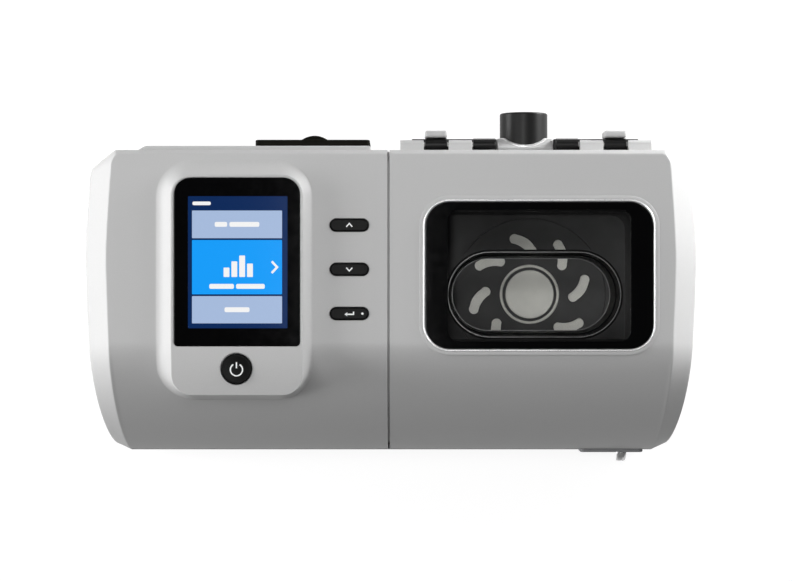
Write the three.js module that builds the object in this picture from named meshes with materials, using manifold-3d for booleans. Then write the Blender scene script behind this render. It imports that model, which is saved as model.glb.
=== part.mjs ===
// Bedside ventilator with a heated humidifier. Millimetres, +X right, +Y to the rear, +Z up.
// X = 0 is the middle of the case. Y is written from the middle of the window and the display, and the
// whole group is shifted at the end so that the middle of its base is the origin.

import * as THREE from 'three';
import { mergeVertices } from 'three/addons/utils/BufferGeometryUtils.js';
import Module from 'manifold-3d';

const wasm = await Module();
wasm.setup();

// Clearances
const seatGap = 0.3;
const runGap = 0.45;

// How far a joined form reaches into the body that it grows from, and how far a cutter overshoots
const embed = 0.5;
const overshoot = 1;
const postEmbed = 1;

// Case: a side profile swept in X, drawn in towards both ends by a bevel, with crowned sides
const caseHalfWidth = 138.8;
const bevelWidth = 10.4;
const bevelDepth = 9.5;
const bevelDepthRear = 11.5;
const bevelDepthFront = 6.5;
const crownY = 15;
const crownRear = 3.0;
const crownFront = 4.8;
const crownPower = 1.35;
const rearY = 63.4;
const frontY = -78;
const topZ = 108;
const baseZ = 3;
const wall = 2.4;
const rearTopBevel = 1.8;
const baseTuck = 4;
const frontCurveStartY = -27;
const frontCurveEndZ = 20;
const frontCurveTopHandle = 19;
const frontCurveFootHandleY = 7;
const frontCurveFootHandleZ = 44;
const partingZ = 24;
const seamX = -1.1;
const seamWidth = 1.0;

// Control pod on the left half, and the display in it
const podHeight = 5;
const podLeft = -98.2;
const podRight = -39.6;
const podFrontMargin = 11.6;
const podRear = 51.5;
const podCorner = 9;
const podSkirtLeft = 8;
const podSkirtRight = 4.5;
const podSkirtRear = 7.5;
const podSkirtFront = 3.5;
const podFootZ = 86;
const glassWidth = 56.6;
const glassHeight = 75.6;
const glassMargin = 0.9;
const glassThickness = 1.4;
const glassCorner = 7.6;
const glassFrontCorner = 1.9;
const lcdWidth = 46.5;
const lcdHeight = 61.5;
const lcdThickness = 5.5;
const lcdShiftY = -0.2;

// Buttons
const powerX = -69.1;
const powerSetback = 10.2;
const powerRadius = 7.05;
const powerProud = 0.3;
const menuX = -18.7;
const menuYs = { up_button: 29.4, down_button: 9.5, enter_button: -10.4 };
const menuLength = 17.7;
const menuWidth = 5.9;
const menuProud = 0.5;
const menuTravel = 0.8;
const buttonFlange = 1.0;
const flangeThickness = 1.0;

// Boards
const boardThickness = 1.6;
const mainBoardDrop = 10.2;
const mainBoardSideMargin = 22.3;
const mainBoardRight = -30.5;
const mainBoardFront = -22;
const mainBoardRear = 50;
const keyBoardZ = 98.4;
const keyBoardHalfWidth = 11;
const keyBoardMargin = 9;
const boardPostRadius = 3;
const boardPostInset = 4;
const keyPadSheet = 1.2;
const keyPadMargin = 1;
const keyPadInsetX = 3;
const keyPadInsetY = 1.5;

// Blower
const blowerX = -72;
const blowerY = 2;
const scrollBottomZ = 66;
const scrollTopZ = 90;
const scrollWall = 2;
const scrollStartRadius = 34;
const scrollGrowth = 5.5;
const tongueAngle = 55;
const scrollLidThickness = 1.8;
const inletRadius = 15;
const impellerRadius = 29;
const impellerHubRadius = 6;
const impellerDiscThickness = 1.6;
const bladeCount = 9;
const bladeThickness = 1.4;
const bladeHeight = 12;
const bladeSweep = 0.9;
const impellerLift = 2;
const shaftRadius = 2;
const shaftClearance = 1;
const hubDrop = 1;
const motorRadius = 20;
const motorHeight = 24;
const bearingRadius = 5;
const bearingHeight = 4;
const bearingInset = 1;
const cradleThickness = 5;
const cradleHeight = 15;
const cradleEarReach = 31;
const cradleEarRadius = 6;
const cradleEarHeight = 4;
const cradleDrop = 2;
const cradlePostRadius = 4;

// Air path
const ductRadius = 8.5;
const ductWall = 2;
const ductY = 28;
const ductZ = 79;
const blowerOutletX = -30;
const blowerOutletStart = 10;
const sealLength = 3.9;
const sealWidth = 3;

// Rear hump with the intake filter
const humpSideMargin = 23.3;
const humpSeamMargin = 7.6;
const humpProud = 2.3;
const humpSlope = 4;
const humpEdge = 1;
const humpBottomZ = 52;
const humpTopZ = 100;
const filterLeft = -61.7;
const filterRight = -9.6;
const filterBottomZ = 56.5;
const filterTopZ = 97.5;
const filterCoverThickness = 2.6;
const filterRimInset = 3;
const filterRimThickness = 1.8;
const filterPadThickness = 3.6;
const gripX = -34.8;
const gripWidth = 12.2;
const gripProud = 2;
const gripLength = 23;
const gripTopMargin = 3;
const louvreCount = 6;
const louvreWidth = 2.4;
const louvreHeight = 6;
const louvreRise = 7;
const louvreSideMargin = 6;
const mufflerDepth = 14;
const mufflerInset = 4;
const mufflerBottomZ = 64;
const mufflerRightMargin = 12;
const mufflerPostInset = 2;
const mufflerPostWidth = 4;
const mufflerPostDepth = 8;

// Power inlet
const inletSideMargin = 40.8;
const inletZ = 34;
const inletWidth = 14;
const inletHeight = 12;
const inletDepth = 15;
const inletBore = 2.9;
const inletPin = 0.9;
const inletFloor = 4;
const inletPinSetback = 1;
const inletStandInset = 2;

// Humidifier lid, window and hinge
const windowSeamMargin = 16.1;
const windowSideMargin = 20.7;
const windowFront = -26.3;
const windowRear = 39.9;
const windowCorner = 11;
const bezelSideWidth = 10.05;
const bezelEndWidth = 3.4;
const clearCorner = 5;
const bezelProud = 0.4;
const bezelThickness = 1.5;
const bezelSeat = 2;
const paneThickness = 1.3;
const linerWidth = 3;
const linerLip = 2;
const linerThickness = 3;
const rearCornerGap = 1.5;
const lipBottomZ = 97;
const hingeOffset = 7.9;
const hingeY = 66.2;
const hingeZ = 99;
const knuckleRadius = 2.1;
const knuckleWidth = 10;
const knucklePitch = 10.95;
const firstKnuckle = 13.8;
const knucklesPerSide = 4;
const pinRadius = 1.0;
const pinClearance = 0.35;
const hingeBarRearY = 69.1;
const hingeBarBottomZ = 88;
const hingeBarTopZ = 94.3;
const knuckleRoot = 0.8;
const knuckleSlope = 1.4;
const stopDepth = 3.2;
const stopTopZ = 100.2;
const stopEdge = 1.2;

// Rear panel with the outlet boss
const panelThickness = 2.4;
const panelTopZ = 94;
const bossHalfWidth = 12.7;
const bossTopZ = 97.2;
const bossTopY = 65.8;
const bossFootZ = 68;
const bossLean = 2.8;
const bossBottomZ = 61;
const bossEmbed = 1;
const outletZ = 82.5;
const outletRadius = 11;
const outletBore = 8.5;
const outletEndY = 81.6;
const outletFlange = 2.2;
const outletFlangeThickness = 1.8;

// Humidifier bay, heater and tank
const baySeamMargin = 2.8;
const baySideMargin = 13.3;
const bayFront = -52;
const bayRear = 58.4;
const bayTopZ = 82;
const bayWall = 2;
const bayCorner = 6;
const deckThickness = 2;
const deckMargin = 3.2;
const deckCornerDepth = 30;
const heaterRadius = 40;
const heaterPadInset = 4;
const heaterThickness = 2.5;
const heaterPadThickness = 1.7;
const tankFingerGap = 13.8;
const tankSideGap = 5.5;
const tankFront = -44;
const tankRear = 42;
const tankCorner = 12;
const tankWall = 2;
const tubHeight = 51;
const gasketThickness = 1.2;
const coverTopZ = 94;
const coverChamfer = 5;
const tubFootInset = 3;
const tubFootHeight = 6;
const gasketInset = 0.4;
const basePlateThickness = 1.5;
const basePlateLap = 3;
const diskShiftY = -0.9;
const swirlRadius = 37.5;
const swirlThickness = 1.7;
const slotCount = 8;
const slotReach = 24.6;
const slotLength = 15.2;
const slotWidth = 5;
const slotTilt = -41;
const slotBow = 1.1;
const slotStart = 7;
const capRadius = 11.9;
const capRingRadius = 14.6;
const capRingGap = 1.4;
const capRingDepth = 0.6;
const capThickness = 2;
const wellLeftMargin = 10.7;
const wellRightMargin = 15.9;
const wellFrontMargin = 23.5;
const wellRearMargin = 25.2;
const wellDepth = 24;
const wellDraft = 2.5;
const wellLip = 1.2;
const wellLipHeight = 1;
const tankPortLength = 13;
const tankInletLength = 2;

// Latch at the front right
const latchSideMargin = 15.4;
const latchLength = 30.8;
const latchBottomZ = 9;
const latchTopZ = 21.5;
const latchProud = 1.3;
const latchPlateThickness = 2.2;
const latchStemInset = 3;
const latchStemDepth = 9.5;
const latchTravel = 2.5;
const hookInset = 8.4;
const hookWidth = 12;
const hookThickness = 3;
const hookTopZ = 33;
const lugDepth = 2.6;
const lugBottomZ = 28;
const lugHeight = 3.4;
const lugClearance = 2.2;
const springRadius = 3;
const springWire = 0.8;
const springTurns = 4;
const tabInset = 20.9;
const tabWidth = 4.7;
const tabReach = 4.7;
const tabThickness = 1.4;
const tabZ = 15;
const tabDroop = 2.2;

// Feet and screws
const footRadius = 7;
const footSideMargin = 26.8;
const footRearMargin = 17.4;
const footFrontMargin = 22;
const screwSideMargin = 17.8;
const screwSeamMargin = 8.4;
const sideScrewYs = [40, -50];
const seamScrewYs = [51, -58];
const screwHeadRadius = 2.8;
const screwHeadHeight = 1.9;
const screwRadius = 1.4;
const screwLength = 26;
const screwPostRadius = 4.2;
const columnRadius = 3.8;

// Places that follow the case's width and its seam
const coverEdgeX = seamX - seamWidth / 2;
const lidEdgeX = seamX + seamWidth / 2;
const podTopZ = topZ + podHeight;
const podMidX = (podLeft + podRight) / 2;
const glassRear = podRear - glassMargin;
const glassFront = glassRear - glassHeight;
const lcdCentreY = (glassFront + glassRear) / 2 + lcdShiftY;
const powerY = glassFront - powerSetback;
const podFront = powerY - podFrontMargin;
const mainBoardLeft = mainBoardSideMargin - caseHalfWidth;
const humpLeft = humpSideMargin - caseHalfWidth;
const humpRight = coverEdgeX - humpSeamMargin;
const inletX = inletSideMargin - caseHalfWidth;
const windowLeft = lidEdgeX + windowSeamMargin;
const windowRight = caseHalfWidth - windowSideMargin;
const hingeX = (lidEdgeX + caseHalfWidth) / 2 - hingeOffset;
const outletX = hingeX;
const bayLeft = lidEdgeX + baySeamMargin;
const bayRight = caseHalfWidth - baySideMargin;
const rearCornerX = bayRight + rearCornerGap;
const tankLeft = bayLeft + tankFingerGap;
const tankRight = bayRight - tankSideGap;
const latchRight = caseHalfWidth - latchSideMargin;
const latchLeft = latchRight - latchLength;
const hookLeft = latchLeft + hookInset;
const hookRight = hookLeft + hookWidth;
const tabX = latchLeft + tabInset;
const footPlaces = [-1, 1].flatMap((side) => [rearY - footRearMargin, frontY + footFrontMargin].map(
  (y) => [side * (caseHalfWidth - footSideMargin), y]));
const screwPlaces = [
  ...sideScrewYs.map((y) => [screwSideMargin - caseHalfWidth, y]),
  ...seamScrewYs.map((y) => [coverEdgeX - screwSeamMargin, y]),
];

const round = { corner: 4, circle: 24, small: 12 };

// Solid helpers

function solidOf(geometry) {
  const bare = geometry.clone();
  bare.deleteAttribute('normal');
  bare.deleteAttribute('uv');
  const merged = mergeVertices(bare, 1e-4);
  const positions = new Float32Array(merged.attributes.position.array);
  const triangles = new Uint32Array(merged.index.array);
  if (signedVolume(positions, triangles) < 0) triangles.reverse();
  return new wasm.Manifold(new wasm.Mesh({ numProp: 3, vertProperties: positions, triVerts: triangles }));
}

function signedVolume(positions, triangles) {
  const corners = [new THREE.Vector3(), new THREE.Vector3(), new THREE.Vector3()];
  let volume = 0;
  for (let i = 0; i < triangles.length; i += 3) {
    corners.forEach((corner, j) => corner.fromArray(positions, 3 * triangles[i + j]));
    volume += corners[0].dot(corners[1].clone().cross(corners[2])) / 6;
  }
  return volume;
}

function geometryOf(solid) {
  const mesh = solid.getMesh();
  const geometry = new THREE.BufferGeometry();
  geometry.setAttribute('position', new THREE.BufferAttribute(mesh.vertProperties, 3));
  geometry.setIndex(new THREE.BufferAttribute(mesh.triVerts, 1));
  geometry.computeVertexNormals();
  return geometry;
}

function join(first, ...others) {
  return others.reduce((whole, piece) => whole.add(piece), first);
}

function cut(first, ...tools) {
  return tools.reduce((whole, tool) => whole.subtract(tool), first);
}

function box(x0, x1, y0, y1, z0, z1) {
  const geometry = new THREE.BoxGeometry(x1 - x0, y1 - y0, z1 - z0);
  geometry.translate((x0 + x1) / 2, (y0 + y1) / 2, (z0 + z1) / 2);
  return solidOf(geometry);
}

function extruded(shape, length, segments) {
  return new THREE.ExtrudeGeometry(shape, { depth: length, bevelEnabled: false, curveSegments: segments });
}

// A plan shape in (X, Y), from z0 up to z1
function prismZ(shape, z0, z1, segments = round.corner) {
  return solidOf(extruded(shape, z1 - z0, segments).translate(0, 0, z0));
}

// A side shape in (Y, Z), from x0 to x1
function prismX(shape, x0, x1, segments = round.corner) {
  const geometry = extruded(shape, x1 - x0, segments);
  const turn = new THREE.Matrix4().makeBasis(
    new THREE.Vector3(0, 1, 0), new THREE.Vector3(0, 0, 1), new THREE.Vector3(1, 0, 0));
  return solidOf(geometry.applyMatrix4(turn).translate(x0, 0, 0));
}

// A rear-view shape in (X, Z), from y0 to y1
function prismY(shape, y0, y1, segments = round.corner) {
  const geometry = extruded(shape, y1 - y0, segments);
  const turn = new THREE.Matrix4().makeBasis(
    new THREE.Vector3(1, 0, 0), new THREE.Vector3(0, 0, 1), new THREE.Vector3(0, -1, 0));
  return solidOf(geometry.applyMatrix4(turn).translate(0, y1, 0));
}

function polygon(points) {
  return new THREE.Shape(points.map(([u, v]) => new THREE.Vector2(u, v)));
}

function roundRect(u0, u1, v0, v1, r) {
  const shape = new THREE.Shape();
  shape.moveTo(u0 + r, v0);
  shape.lineTo(u1 - r, v0);
  shape.absarc(u1 - r, v0 + r, r, -Math.PI / 2, 0);
  shape.lineTo(u1, v1 - r);
  shape.absarc(u1 - r, v1 - r, r, 0, Math.PI / 2);
  shape.lineTo(u0 + r, v1);
  shape.absarc(u0 + r, v1 - r, r, Math.PI / 2, Math.PI);
  shape.lineTo(u0, v0 + r);
  shape.absarc(u0 + r, v0 + r, r, Math.PI, 1.5 * Math.PI);
  return shape;
}

function pill(cx, cy, length, width) {
  return roundRect(cx - length / 2, cx + length / 2, cy - width / 2, cy + width / 2, width / 2 - 0.01);
}

function rodZ(x, y, radius, z0, z1, sides = round.circle) {
  const geometry = new THREE.CylinderGeometry(radius, radius, z1 - z0, sides).rotateX(Math.PI / 2);
  return solidOf(geometry.translate(x, y, (z0 + z1) / 2));
}

function rodX(y, z, radius, x0, x1, sides = round.circle) {
  const geometry = new THREE.CylinderGeometry(radius, radius, x1 - x0, sides).rotateZ(Math.PI / 2);
  return solidOf(geometry.translate((x0 + x1) / 2, y, z));
}

function rodY(x, z, radius, y0, y1, sides = round.circle) {
  const geometry = new THREE.CylinderGeometry(radius, radius, y1 - y0, sides);
  return solidOf(geometry.translate(x, (y0 + y1) / 2, z));
}

// Closed rings with equal point counts, joined side by side and capped at both ends
function loft(rings) {
  const count = rings[0].length;
  const positions = [];
  const indices = [];
  rings.flat().forEach((point) => positions.push(point.x, point.y, point.z));
  for (let ring = 0; ring + 1 < rings.length; ring += 1) {
    for (let i = 0; i < count; i += 1) {
      const a = ring * count + i;
      const b = ring * count + (i + 1) % count;
      indices.push(a, b, b + count, a, b + count, a + count);
    }
  }
  const last = (rings.length - 1) * count;
  for (let i = 1; i + 1 < count; i += 1) {
    indices.push(0, i + 1, i, last, last + i, last + i + 1);
  }
  const geometry = new THREE.BufferGeometry();
  geometry.setAttribute('position', new THREE.Float32BufferAttribute(positions, 3));
  geometry.setIndex(indices);
  return solidOf(geometry);
}

function roundRing(x0, x1, y0, y1, r, z, segments = round.corner) {
  const corners = [[x1 - r, y0 + r, -0.5], [x1 - r, y1 - r, 0], [x0 + r, y1 - r, 0.5], [x0 + r, y0 + r, 1]];
  return corners.flatMap(([cx, cy, turn]) => Array.from({ length: segments + 1 }, (_, i) => {
    const angle = Math.PI * (turn + 0.5 * i / segments);
    return new THREE.Vector3(cx + r * Math.cos(angle), cy + r * Math.sin(angle), z);
  }));
}

const device = new THREE.Group();

function addPart(name, solid, material) {
  const mesh = new THREE.Mesh(geometryOf(solid), material);
  mesh.name = name;
  device.add(mesh);
}

function finish(color, roughness, metalness) {
  return new THREE.MeshStandardMaterial({ color, roughness, metalness, flatShading: true });
}

const silver = finish(0xb4b6b8, 0.38, 0.5);
const gloss = finish(0x0a0a0b, 0.15, 0);
const black = finish(0x1c1d1e, 0.5, 0);
const rubber = finish(0x252525, 0.85, 0);
const smoke = finish(0x3a3c3e, 0.12, 0);
const steel = finish(0xa3a6a1, 0.3, 0.9);
const board = finish(0x1d5a36, 0.6, 0);
const grey = finish(0x7c7f83, 0.55, 0);
const pale = finish(0xc9cacb, 0.45, 0);
const foam = finish(0x9a9da0, 0.95, 0);

// Case shells

// The profile drawn in by an inset on every side, and by shares of the bevel depths at the ends
function caseProfile(inset, bevelShare) {
  const curve = new THREE.CubicBezierCurve(
    new THREE.Vector2(frontCurveStartY, topZ),
    new THREE.Vector2(frontCurveStartY - frontCurveTopHandle, topZ),
    new THREE.Vector2(frontY + frontCurveFootHandleY, frontCurveEndZ + frontCurveFootHandleZ),
    new THREE.Vector2(frontY, frontCurveEndZ));
  const points = [
    new THREE.Vector2(rearY - baseTuck, baseZ),
    new THREE.Vector2(rearY, baseZ + baseTuck),
    new THREE.Vector2(rearY, topZ - rearTopBevel),
    new THREE.Vector2(rearY - rearTopBevel, topZ),
    ...curve.getPoints(12),
    new THREE.Vector2(frontY + baseTuck, baseZ),
  ];
  const low = [frontY + inset + bevelShare * bevelDepthFront, baseZ + inset + bevelShare * bevelDepth];
  const high = [rearY - inset - bevelShare * bevelDepthRear, topZ - inset - bevelShare * bevelDepth];
  return points.map((point) => new THREE.Vector2(
    THREE.MathUtils.mapLinear(point.x, frontY, rearY, low[0], high[0]),
    THREE.MathUtils.mapLinear(point.y, baseZ, topZ, low[1], high[1])));
}

function crownedHalfWidth(y, inset) {
  const fall = y > crownY
    ? crownRear * ((y - crownY) / (rearY - crownY)) ** crownPower
    : crownFront * ((crownY - y) / (crownY - frontY)) ** crownPower;
  return caseHalfWidth - inset - fall;
}

function crownOutline(inset) {
  const steps = 12;
  const side = Array.from({ length: steps + 1 }, (_, i) => {
    const y = THREE.MathUtils.lerp(frontY, rearY, i / steps);
    return [crownedHalfWidth(y, inset), y];
  });
  side.splice(side.findIndex(([, y]) => y > crownY), 0, [caseHalfWidth - inset, crownY]);
  const left = side.map(([x, y]) => [-x, y]).reverse();
  return polygon([...side, ...left]);
}

function caseSolid(inset) {
  const creaseX = caseHalfWidth - bevelWidth - inset * Math.tan(Math.PI / 8);
  const stations = [
    [-(caseHalfWidth - inset), 1], [-creaseX, 0], [creaseX, 0], [caseHalfWidth - inset, 1],
  ];
  const rings = stations.map(([x, bevelShare]) => caseProfile(inset, bevelShare).map(
    (point) => new THREE.Vector3(x, point.x, point.y)));
  return loft(rings).intersect(prismZ(crownOutline(inset), baseZ - overshoot, topZ + overshoot));
}

const far = 200;
const outer = caseSolid(0);
const inner = caseSolid(wall);
const shell = outer.subtract(inner);
const upperHalf = box(-far, far, -far, far, partingZ + seatGap / 2, far);
const floorZ = baseZ + wall;
const ceilingZ = topZ - wall;

// Control pod

function podSolid(inset) {
  const left = podLeft + inset;
  const right = podRight - inset;
  const front = podFront + inset;
  const rear = podRear - inset;
  const foot = (z) => roundRing(left - podSkirtLeft, right + podSkirtRight, front - podSkirtFront,
    rear + podSkirtRear, podCorner + podSkirtLeft - inset, z);
  const top = roundRing(left, right, front, rear, podCorner - inset, podTopZ - inset);
  return loft([foot(podFootZ), foot(topZ - inset), top]);
}

const glassLeft = podMidX - glassWidth / 2;
const glassRight = podMidX + glassWidth / 2;
const glassBottomZ = podTopZ - glassThickness;
const lcdTopZ = glassBottomZ - seatGap;
const mainBoardZ = lcdTopZ - lcdThickness - mainBoardDrop - boardThickness;

function glassOutline(margin) {
  const rearCorner = glassCorner + margin;
  const frontCorner = glassFrontCorner + margin;
  const x0 = glassLeft - margin;
  const x1 = glassRight + margin;
  const y0 = glassFront - margin;
  const y1 = glassRear + margin;
  const shape = new THREE.Shape();
  shape.moveTo(x0 + frontCorner, y0);
  shape.lineTo(x1 - frontCorner, y0);
  shape.absarc(x1 - frontCorner, y0 + frontCorner, frontCorner, -Math.PI / 2, 0);
  shape.lineTo(x1, y1 - rearCorner);
  shape.absarc(x1 - rearCorner, y1 - rearCorner, rearCorner, 0, Math.PI / 2);
  shape.lineTo(x0 + rearCorner, y1);
  shape.absarc(x0 + rearCorner, y1 - rearCorner, rearCorner, Math.PI / 2, Math.PI);
  shape.lineTo(x0, y0 + frontCorner);
  shape.absarc(x0 + frontCorner, y0 + frontCorner, frontCorner, Math.PI, 1.5 * Math.PI);
  return shape;
}

function lcdOutline(margin) {
  return roundRect(podMidX - lcdWidth / 2 - margin, podMidX + lcdWidth / 2 + margin,
    lcdCentreY - lcdHeight / 2 - margin, lcdCentreY + lcdHeight / 2 + margin, 1 + margin);
}

// Places of the board posts: the main board hangs under the case top beside the pod
const mainBoardPosts = [
  [mainBoardLeft + boardPostInset, mainBoardRear - boardPostInset],
  [mainBoardLeft + boardPostInset, mainBoardFront + boardPostInset],
  [mainBoardRight - boardPostInset, mainBoardRear - boardPostInset],
  [mainBoardRight - boardPostInset, mainBoardFront + boardPostInset],
];
const keyBoardFront = menuYs.enter_button - menuWidth / 2 - keyBoardMargin;
const keyBoardRear = menuYs.up_button + menuWidth / 2 + keyBoardMargin;
const keyBoardPosts = [keyBoardFront + boardPostInset, keyBoardRear - boardPostInset];

function rearHump() {
  return prismZ(polygon([
    [humpLeft, rearY - wall], [humpRight, rearY - wall], [humpRight, rearY + humpEdge / 2],
    [humpRight - humpEdge, rearY + humpProud - humpEdge / 3],
    [humpRight - 2 * humpEdge, rearY + humpProud],
    [humpLeft + humpSlope, rearY + humpProud], [humpLeft, rearY],
  ]), humpBottomZ, humpTopZ);
}

function filterOutline(inset) {
  return roundRect(filterLeft + inset, filterRight - inset, filterBottomZ + inset, filterTopZ - inset, 2);
}

function buildMainCover() {
  const leftHalf = box(-far, coverEdgeX, -far, far, 0, far);
  const sideWall = outer.intersect(box(coverEdgeX - wall, coverEdgeX, -far, far, 0, far));
  let cover = join(shell.intersect(leftHalf), sideWall, podSolid(0));
  cover = cut(cover, podSolid(wall), inner.intersect(box(-far, coverEdgeX - wall, -far, far, 0, far)));
  cover = cover.intersect(upperHalf).add(rearHump());
  const columns = screwPlaces.map(([x, y]) => rodZ(x, y, columnRadius, postJoinZ, topZ, round.small));
  const boardPosts = mainBoardPosts.map(
    ([x, y]) => rodZ(x, y, boardPostRadius, mainBoardZ + boardThickness + seatGap, topZ, round.small));
  const keyPosts = keyBoardPosts.map(
    (y) => rodZ(menuX, y, boardPostRadius, keyBoardZ + boardThickness + seatGap, topZ, round.small));
  cover = join(cover, ...[...columns, ...boardPosts, ...keyPosts].map((post) => post.intersect(outer)));
  const screwHoles = screwPlaces.map(
    ([x, y]) => rodZ(x, y, screwRadius + seatGap, postJoinZ - overshoot, screwTopZ + overshoot,
      round.small));
  const menuHoles = Object.values(menuYs).map(
    (y) => prismZ(pill(menuX, y, menuLength + 2 * runGap, menuWidth + 2 * runGap), ceilingZ - overshoot,
      topZ + overshoot));
  return cut(cover, ...screwHoles, ...menuHoles,
    prismZ(glassOutline(seatGap), glassBottomZ - seatGap, podTopZ + overshoot),
    prismZ(lcdOutline(seatGap), podTopZ - wall - overshoot, podTopZ + overshoot),
    rodZ(powerX, powerY, powerRadius + runGap, podTopZ - wall - overshoot, podTopZ + overshoot),
    prismY(filterOutline(filterRimInset - seatGap), rearY - wall - overshoot,
      rearY + humpProud + overshoot),
    prismY(roundRect(inletX - inletWidth / 2 - seatGap, inletX + inletWidth / 2 + seatGap,
      inletZ - inletHeight / 2 - seatGap, inletZ + inletHeight / 2 + seatGap, 1),
        rearY - wall - overshoot, rearY + overshoot),
    rodX(ductY, ductZ, ductRadius + ductWall + seatGap, coverEdgeX - wall - overshoot,
      coverEdgeX + overshoot));
}

const postJoinZ = partingZ + seatGap / 2;
const screwBottomZ = baseZ + seatGap;
const screwTopZ = screwBottomZ + screwLength;
addPart('main_cover', buildMainCover(), silver);

addPart('display_glass', prismZ(glassOutline(0), glassBottomZ, podTopZ), gloss);
addPart('lcd_module', prismZ(lcdOutline(0), lcdTopZ - lcdThickness, lcdTopZ), smoke);

// Buttons: a cap through the case top and a flange under it

function pressButton(capOutline, flangeOutline, capTopZ, surfaceZ) {
  const flangeTopZ = surfaceZ - wall - seatGap;
  return join(prismZ(capOutline, flangeTopZ - embed, capTopZ),
    prismZ(flangeOutline, flangeTopZ - flangeThickness, flangeTopZ));
}

function circle(x, y, radius) {
  return new THREE.Shape().absarc(x, y, radius, 0, 2 * Math.PI);
}

addPart('power_button', pressButton(circle(powerX, powerY, powerRadius),
  circle(powerX, powerY, powerRadius + buttonFlange + runGap), podTopZ + powerProud, podTopZ), black);
for (const [name, y] of Object.entries(menuYs)) {
  addPart(name, pressButton(pill(menuX, y, menuLength, menuWidth),
    pill(menuX, y, menuLength + 2 * (buttonFlange + runGap), menuWidth + 2 * (buttonFlange + runGap)),
    topZ + menuProud, topZ), black);
}

// Boards and the silicone key pad

const buttonFootZ = ceilingZ - seatGap - flangeThickness;
const padTopZ = buttonFootZ - menuTravel - seatGap;
const padBottomZ = keyBoardZ + boardThickness + seatGap;
const padHalfWidth = keyBoardHalfWidth - keyPadMargin;
addPart('main_board', box(mainBoardLeft, mainBoardRight, mainBoardFront, mainBoardRear,
  mainBoardZ, mainBoardZ + boardThickness), board);
addPart('key_board', box(menuX - keyBoardHalfWidth, menuX + keyBoardHalfWidth, keyBoardFront, keyBoardRear,
  keyBoardZ, keyBoardZ + boardThickness), board);
const padReach = boardPostInset + boardPostRadius + seatGap;
addPart('key_pad', join(
  box(menuX - padHalfWidth, menuX + padHalfWidth, keyBoardFront + padReach, keyBoardRear - padReach,
    padBottomZ, padBottomZ + keyPadSheet),
  ...Object.values(menuYs).map((y) => prismZ(
    pill(menuX, y, menuLength - keyPadInsetX, menuWidth - keyPadInsetY), padBottomZ + embed, padTopZ))),
      rubber);

// Blower: scroll housing, impeller on its shaft, motor, bearings and rubber cradle

function scrollPoints(extra) {
  const steps = 28;
  return Array.from({ length: steps + 1 }, (_, i) => {
    const angle = THREE.MathUtils.degToRad(tongueAngle - 360 * i / steps);
    const radius = scrollStartRadius + extra + scrollGrowth * i / steps;
    return [blowerX + radius * Math.cos(angle), blowerY + radius * Math.sin(angle)];
  });
}

const scrollFloorZ = scrollBottomZ + scrollWall;
const scrollOuter = polygon(scrollPoints(0));
const scrollInner = polygon(scrollPoints(-scrollWall));
const outletStartX = blowerX + blowerOutletStart;
const scrollBody = join(
  prismZ(scrollOuter, scrollBottomZ, scrollTopZ),
  rodX(ductY, ductZ, ductRadius + ductWall, outletStartX, blowerOutletX));
addPart('volute_body', cut(scrollBody,
  prismZ(scrollInner, scrollFloorZ, scrollTopZ + overshoot),
  rodX(ductY, ductZ, ductRadius, outletStartX, blowerOutletX + overshoot),
  rodZ(blowerX, blowerY, shaftRadius + shaftClearance, scrollBottomZ - overshoot,
    scrollFloorZ + overshoot, round.small)), grey);

const scrollLidZ = scrollTopZ + seatGap;
addPart('volute_cover', cut(
  prismZ(scrollOuter, scrollLidZ, scrollLidZ + scrollLidThickness),
  rodZ(blowerX, blowerY, inletRadius, scrollLidZ - overshoot,
    scrollLidZ + scrollLidThickness + overshoot)), grey);

const impellerZ = scrollFloorZ + impellerLift;
const bladeBaseZ = impellerZ + impellerDiscThickness;

function blade(index) {
  const start = 2 * Math.PI * index / bladeCount;
  const steps = 4;
  const edge = (offset) => Array.from({ length: steps + 1 }, (_, i) => {
    const radius = THREE.MathUtils.lerp(impellerHubRadius - embed, impellerRadius - embed, i / steps);
    const angle = start + bladeSweep * i / steps + offset / radius;
    return [blowerX + radius * Math.cos(angle), blowerY + radius * Math.sin(angle)];
  });
  return prismZ(polygon([...edge(-bladeThickness / 2), ...edge(bladeThickness / 2).reverse()]),
    bladeBaseZ - embed, bladeBaseZ + bladeHeight);
}

const blades = Array.from({ length: bladeCount }, (_, index) => blade(index));
const hubTopZ = bladeBaseZ + bladeHeight - hubDrop;
addPart('impeller', cut(join(
  rodZ(blowerX, blowerY, impellerRadius, impellerZ, bladeBaseZ),
  rodZ(blowerX, blowerY, impellerHubRadius, impellerZ, hubTopZ, round.small), ...blades),
rodZ(blowerX, blowerY, shaftRadius + seatGap, impellerZ - overshoot, hubTopZ + overshoot, round.small)),
  pale);

const motorTopZ = scrollBottomZ - seatGap;
const motorBottomZ = motorTopZ - motorHeight;
addPart('motor_shaft', rodZ(blowerX, blowerY, shaftRadius, motorBottomZ + bearingInset,
  hubTopZ - embed, round.small), steel);
addPart('motor_housing', cut(rodZ(blowerX, blowerY, motorRadius, motorBottomZ, motorTopZ),
  rodZ(blowerX, blowerY, bearingRadius + seatGap, motorBottomZ - overshoot, motorTopZ + overshoot,
    round.small)), grey);
const bearingPlaces = {
  bearing_lower: motorBottomZ + bearingInset, bearing_upper: motorTopZ - bearingInset - bearingHeight };
for (const [name, z] of Object.entries(bearingPlaces)) {
  addPart(name, cut(rodZ(blowerX, blowerY, bearingRadius, z, z + bearingHeight, round.small),
    rodZ(blowerX, blowerY, shaftRadius + seatGap, z - overshoot, z + bearingHeight + overshoot,
      round.small)), steel);
}

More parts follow.
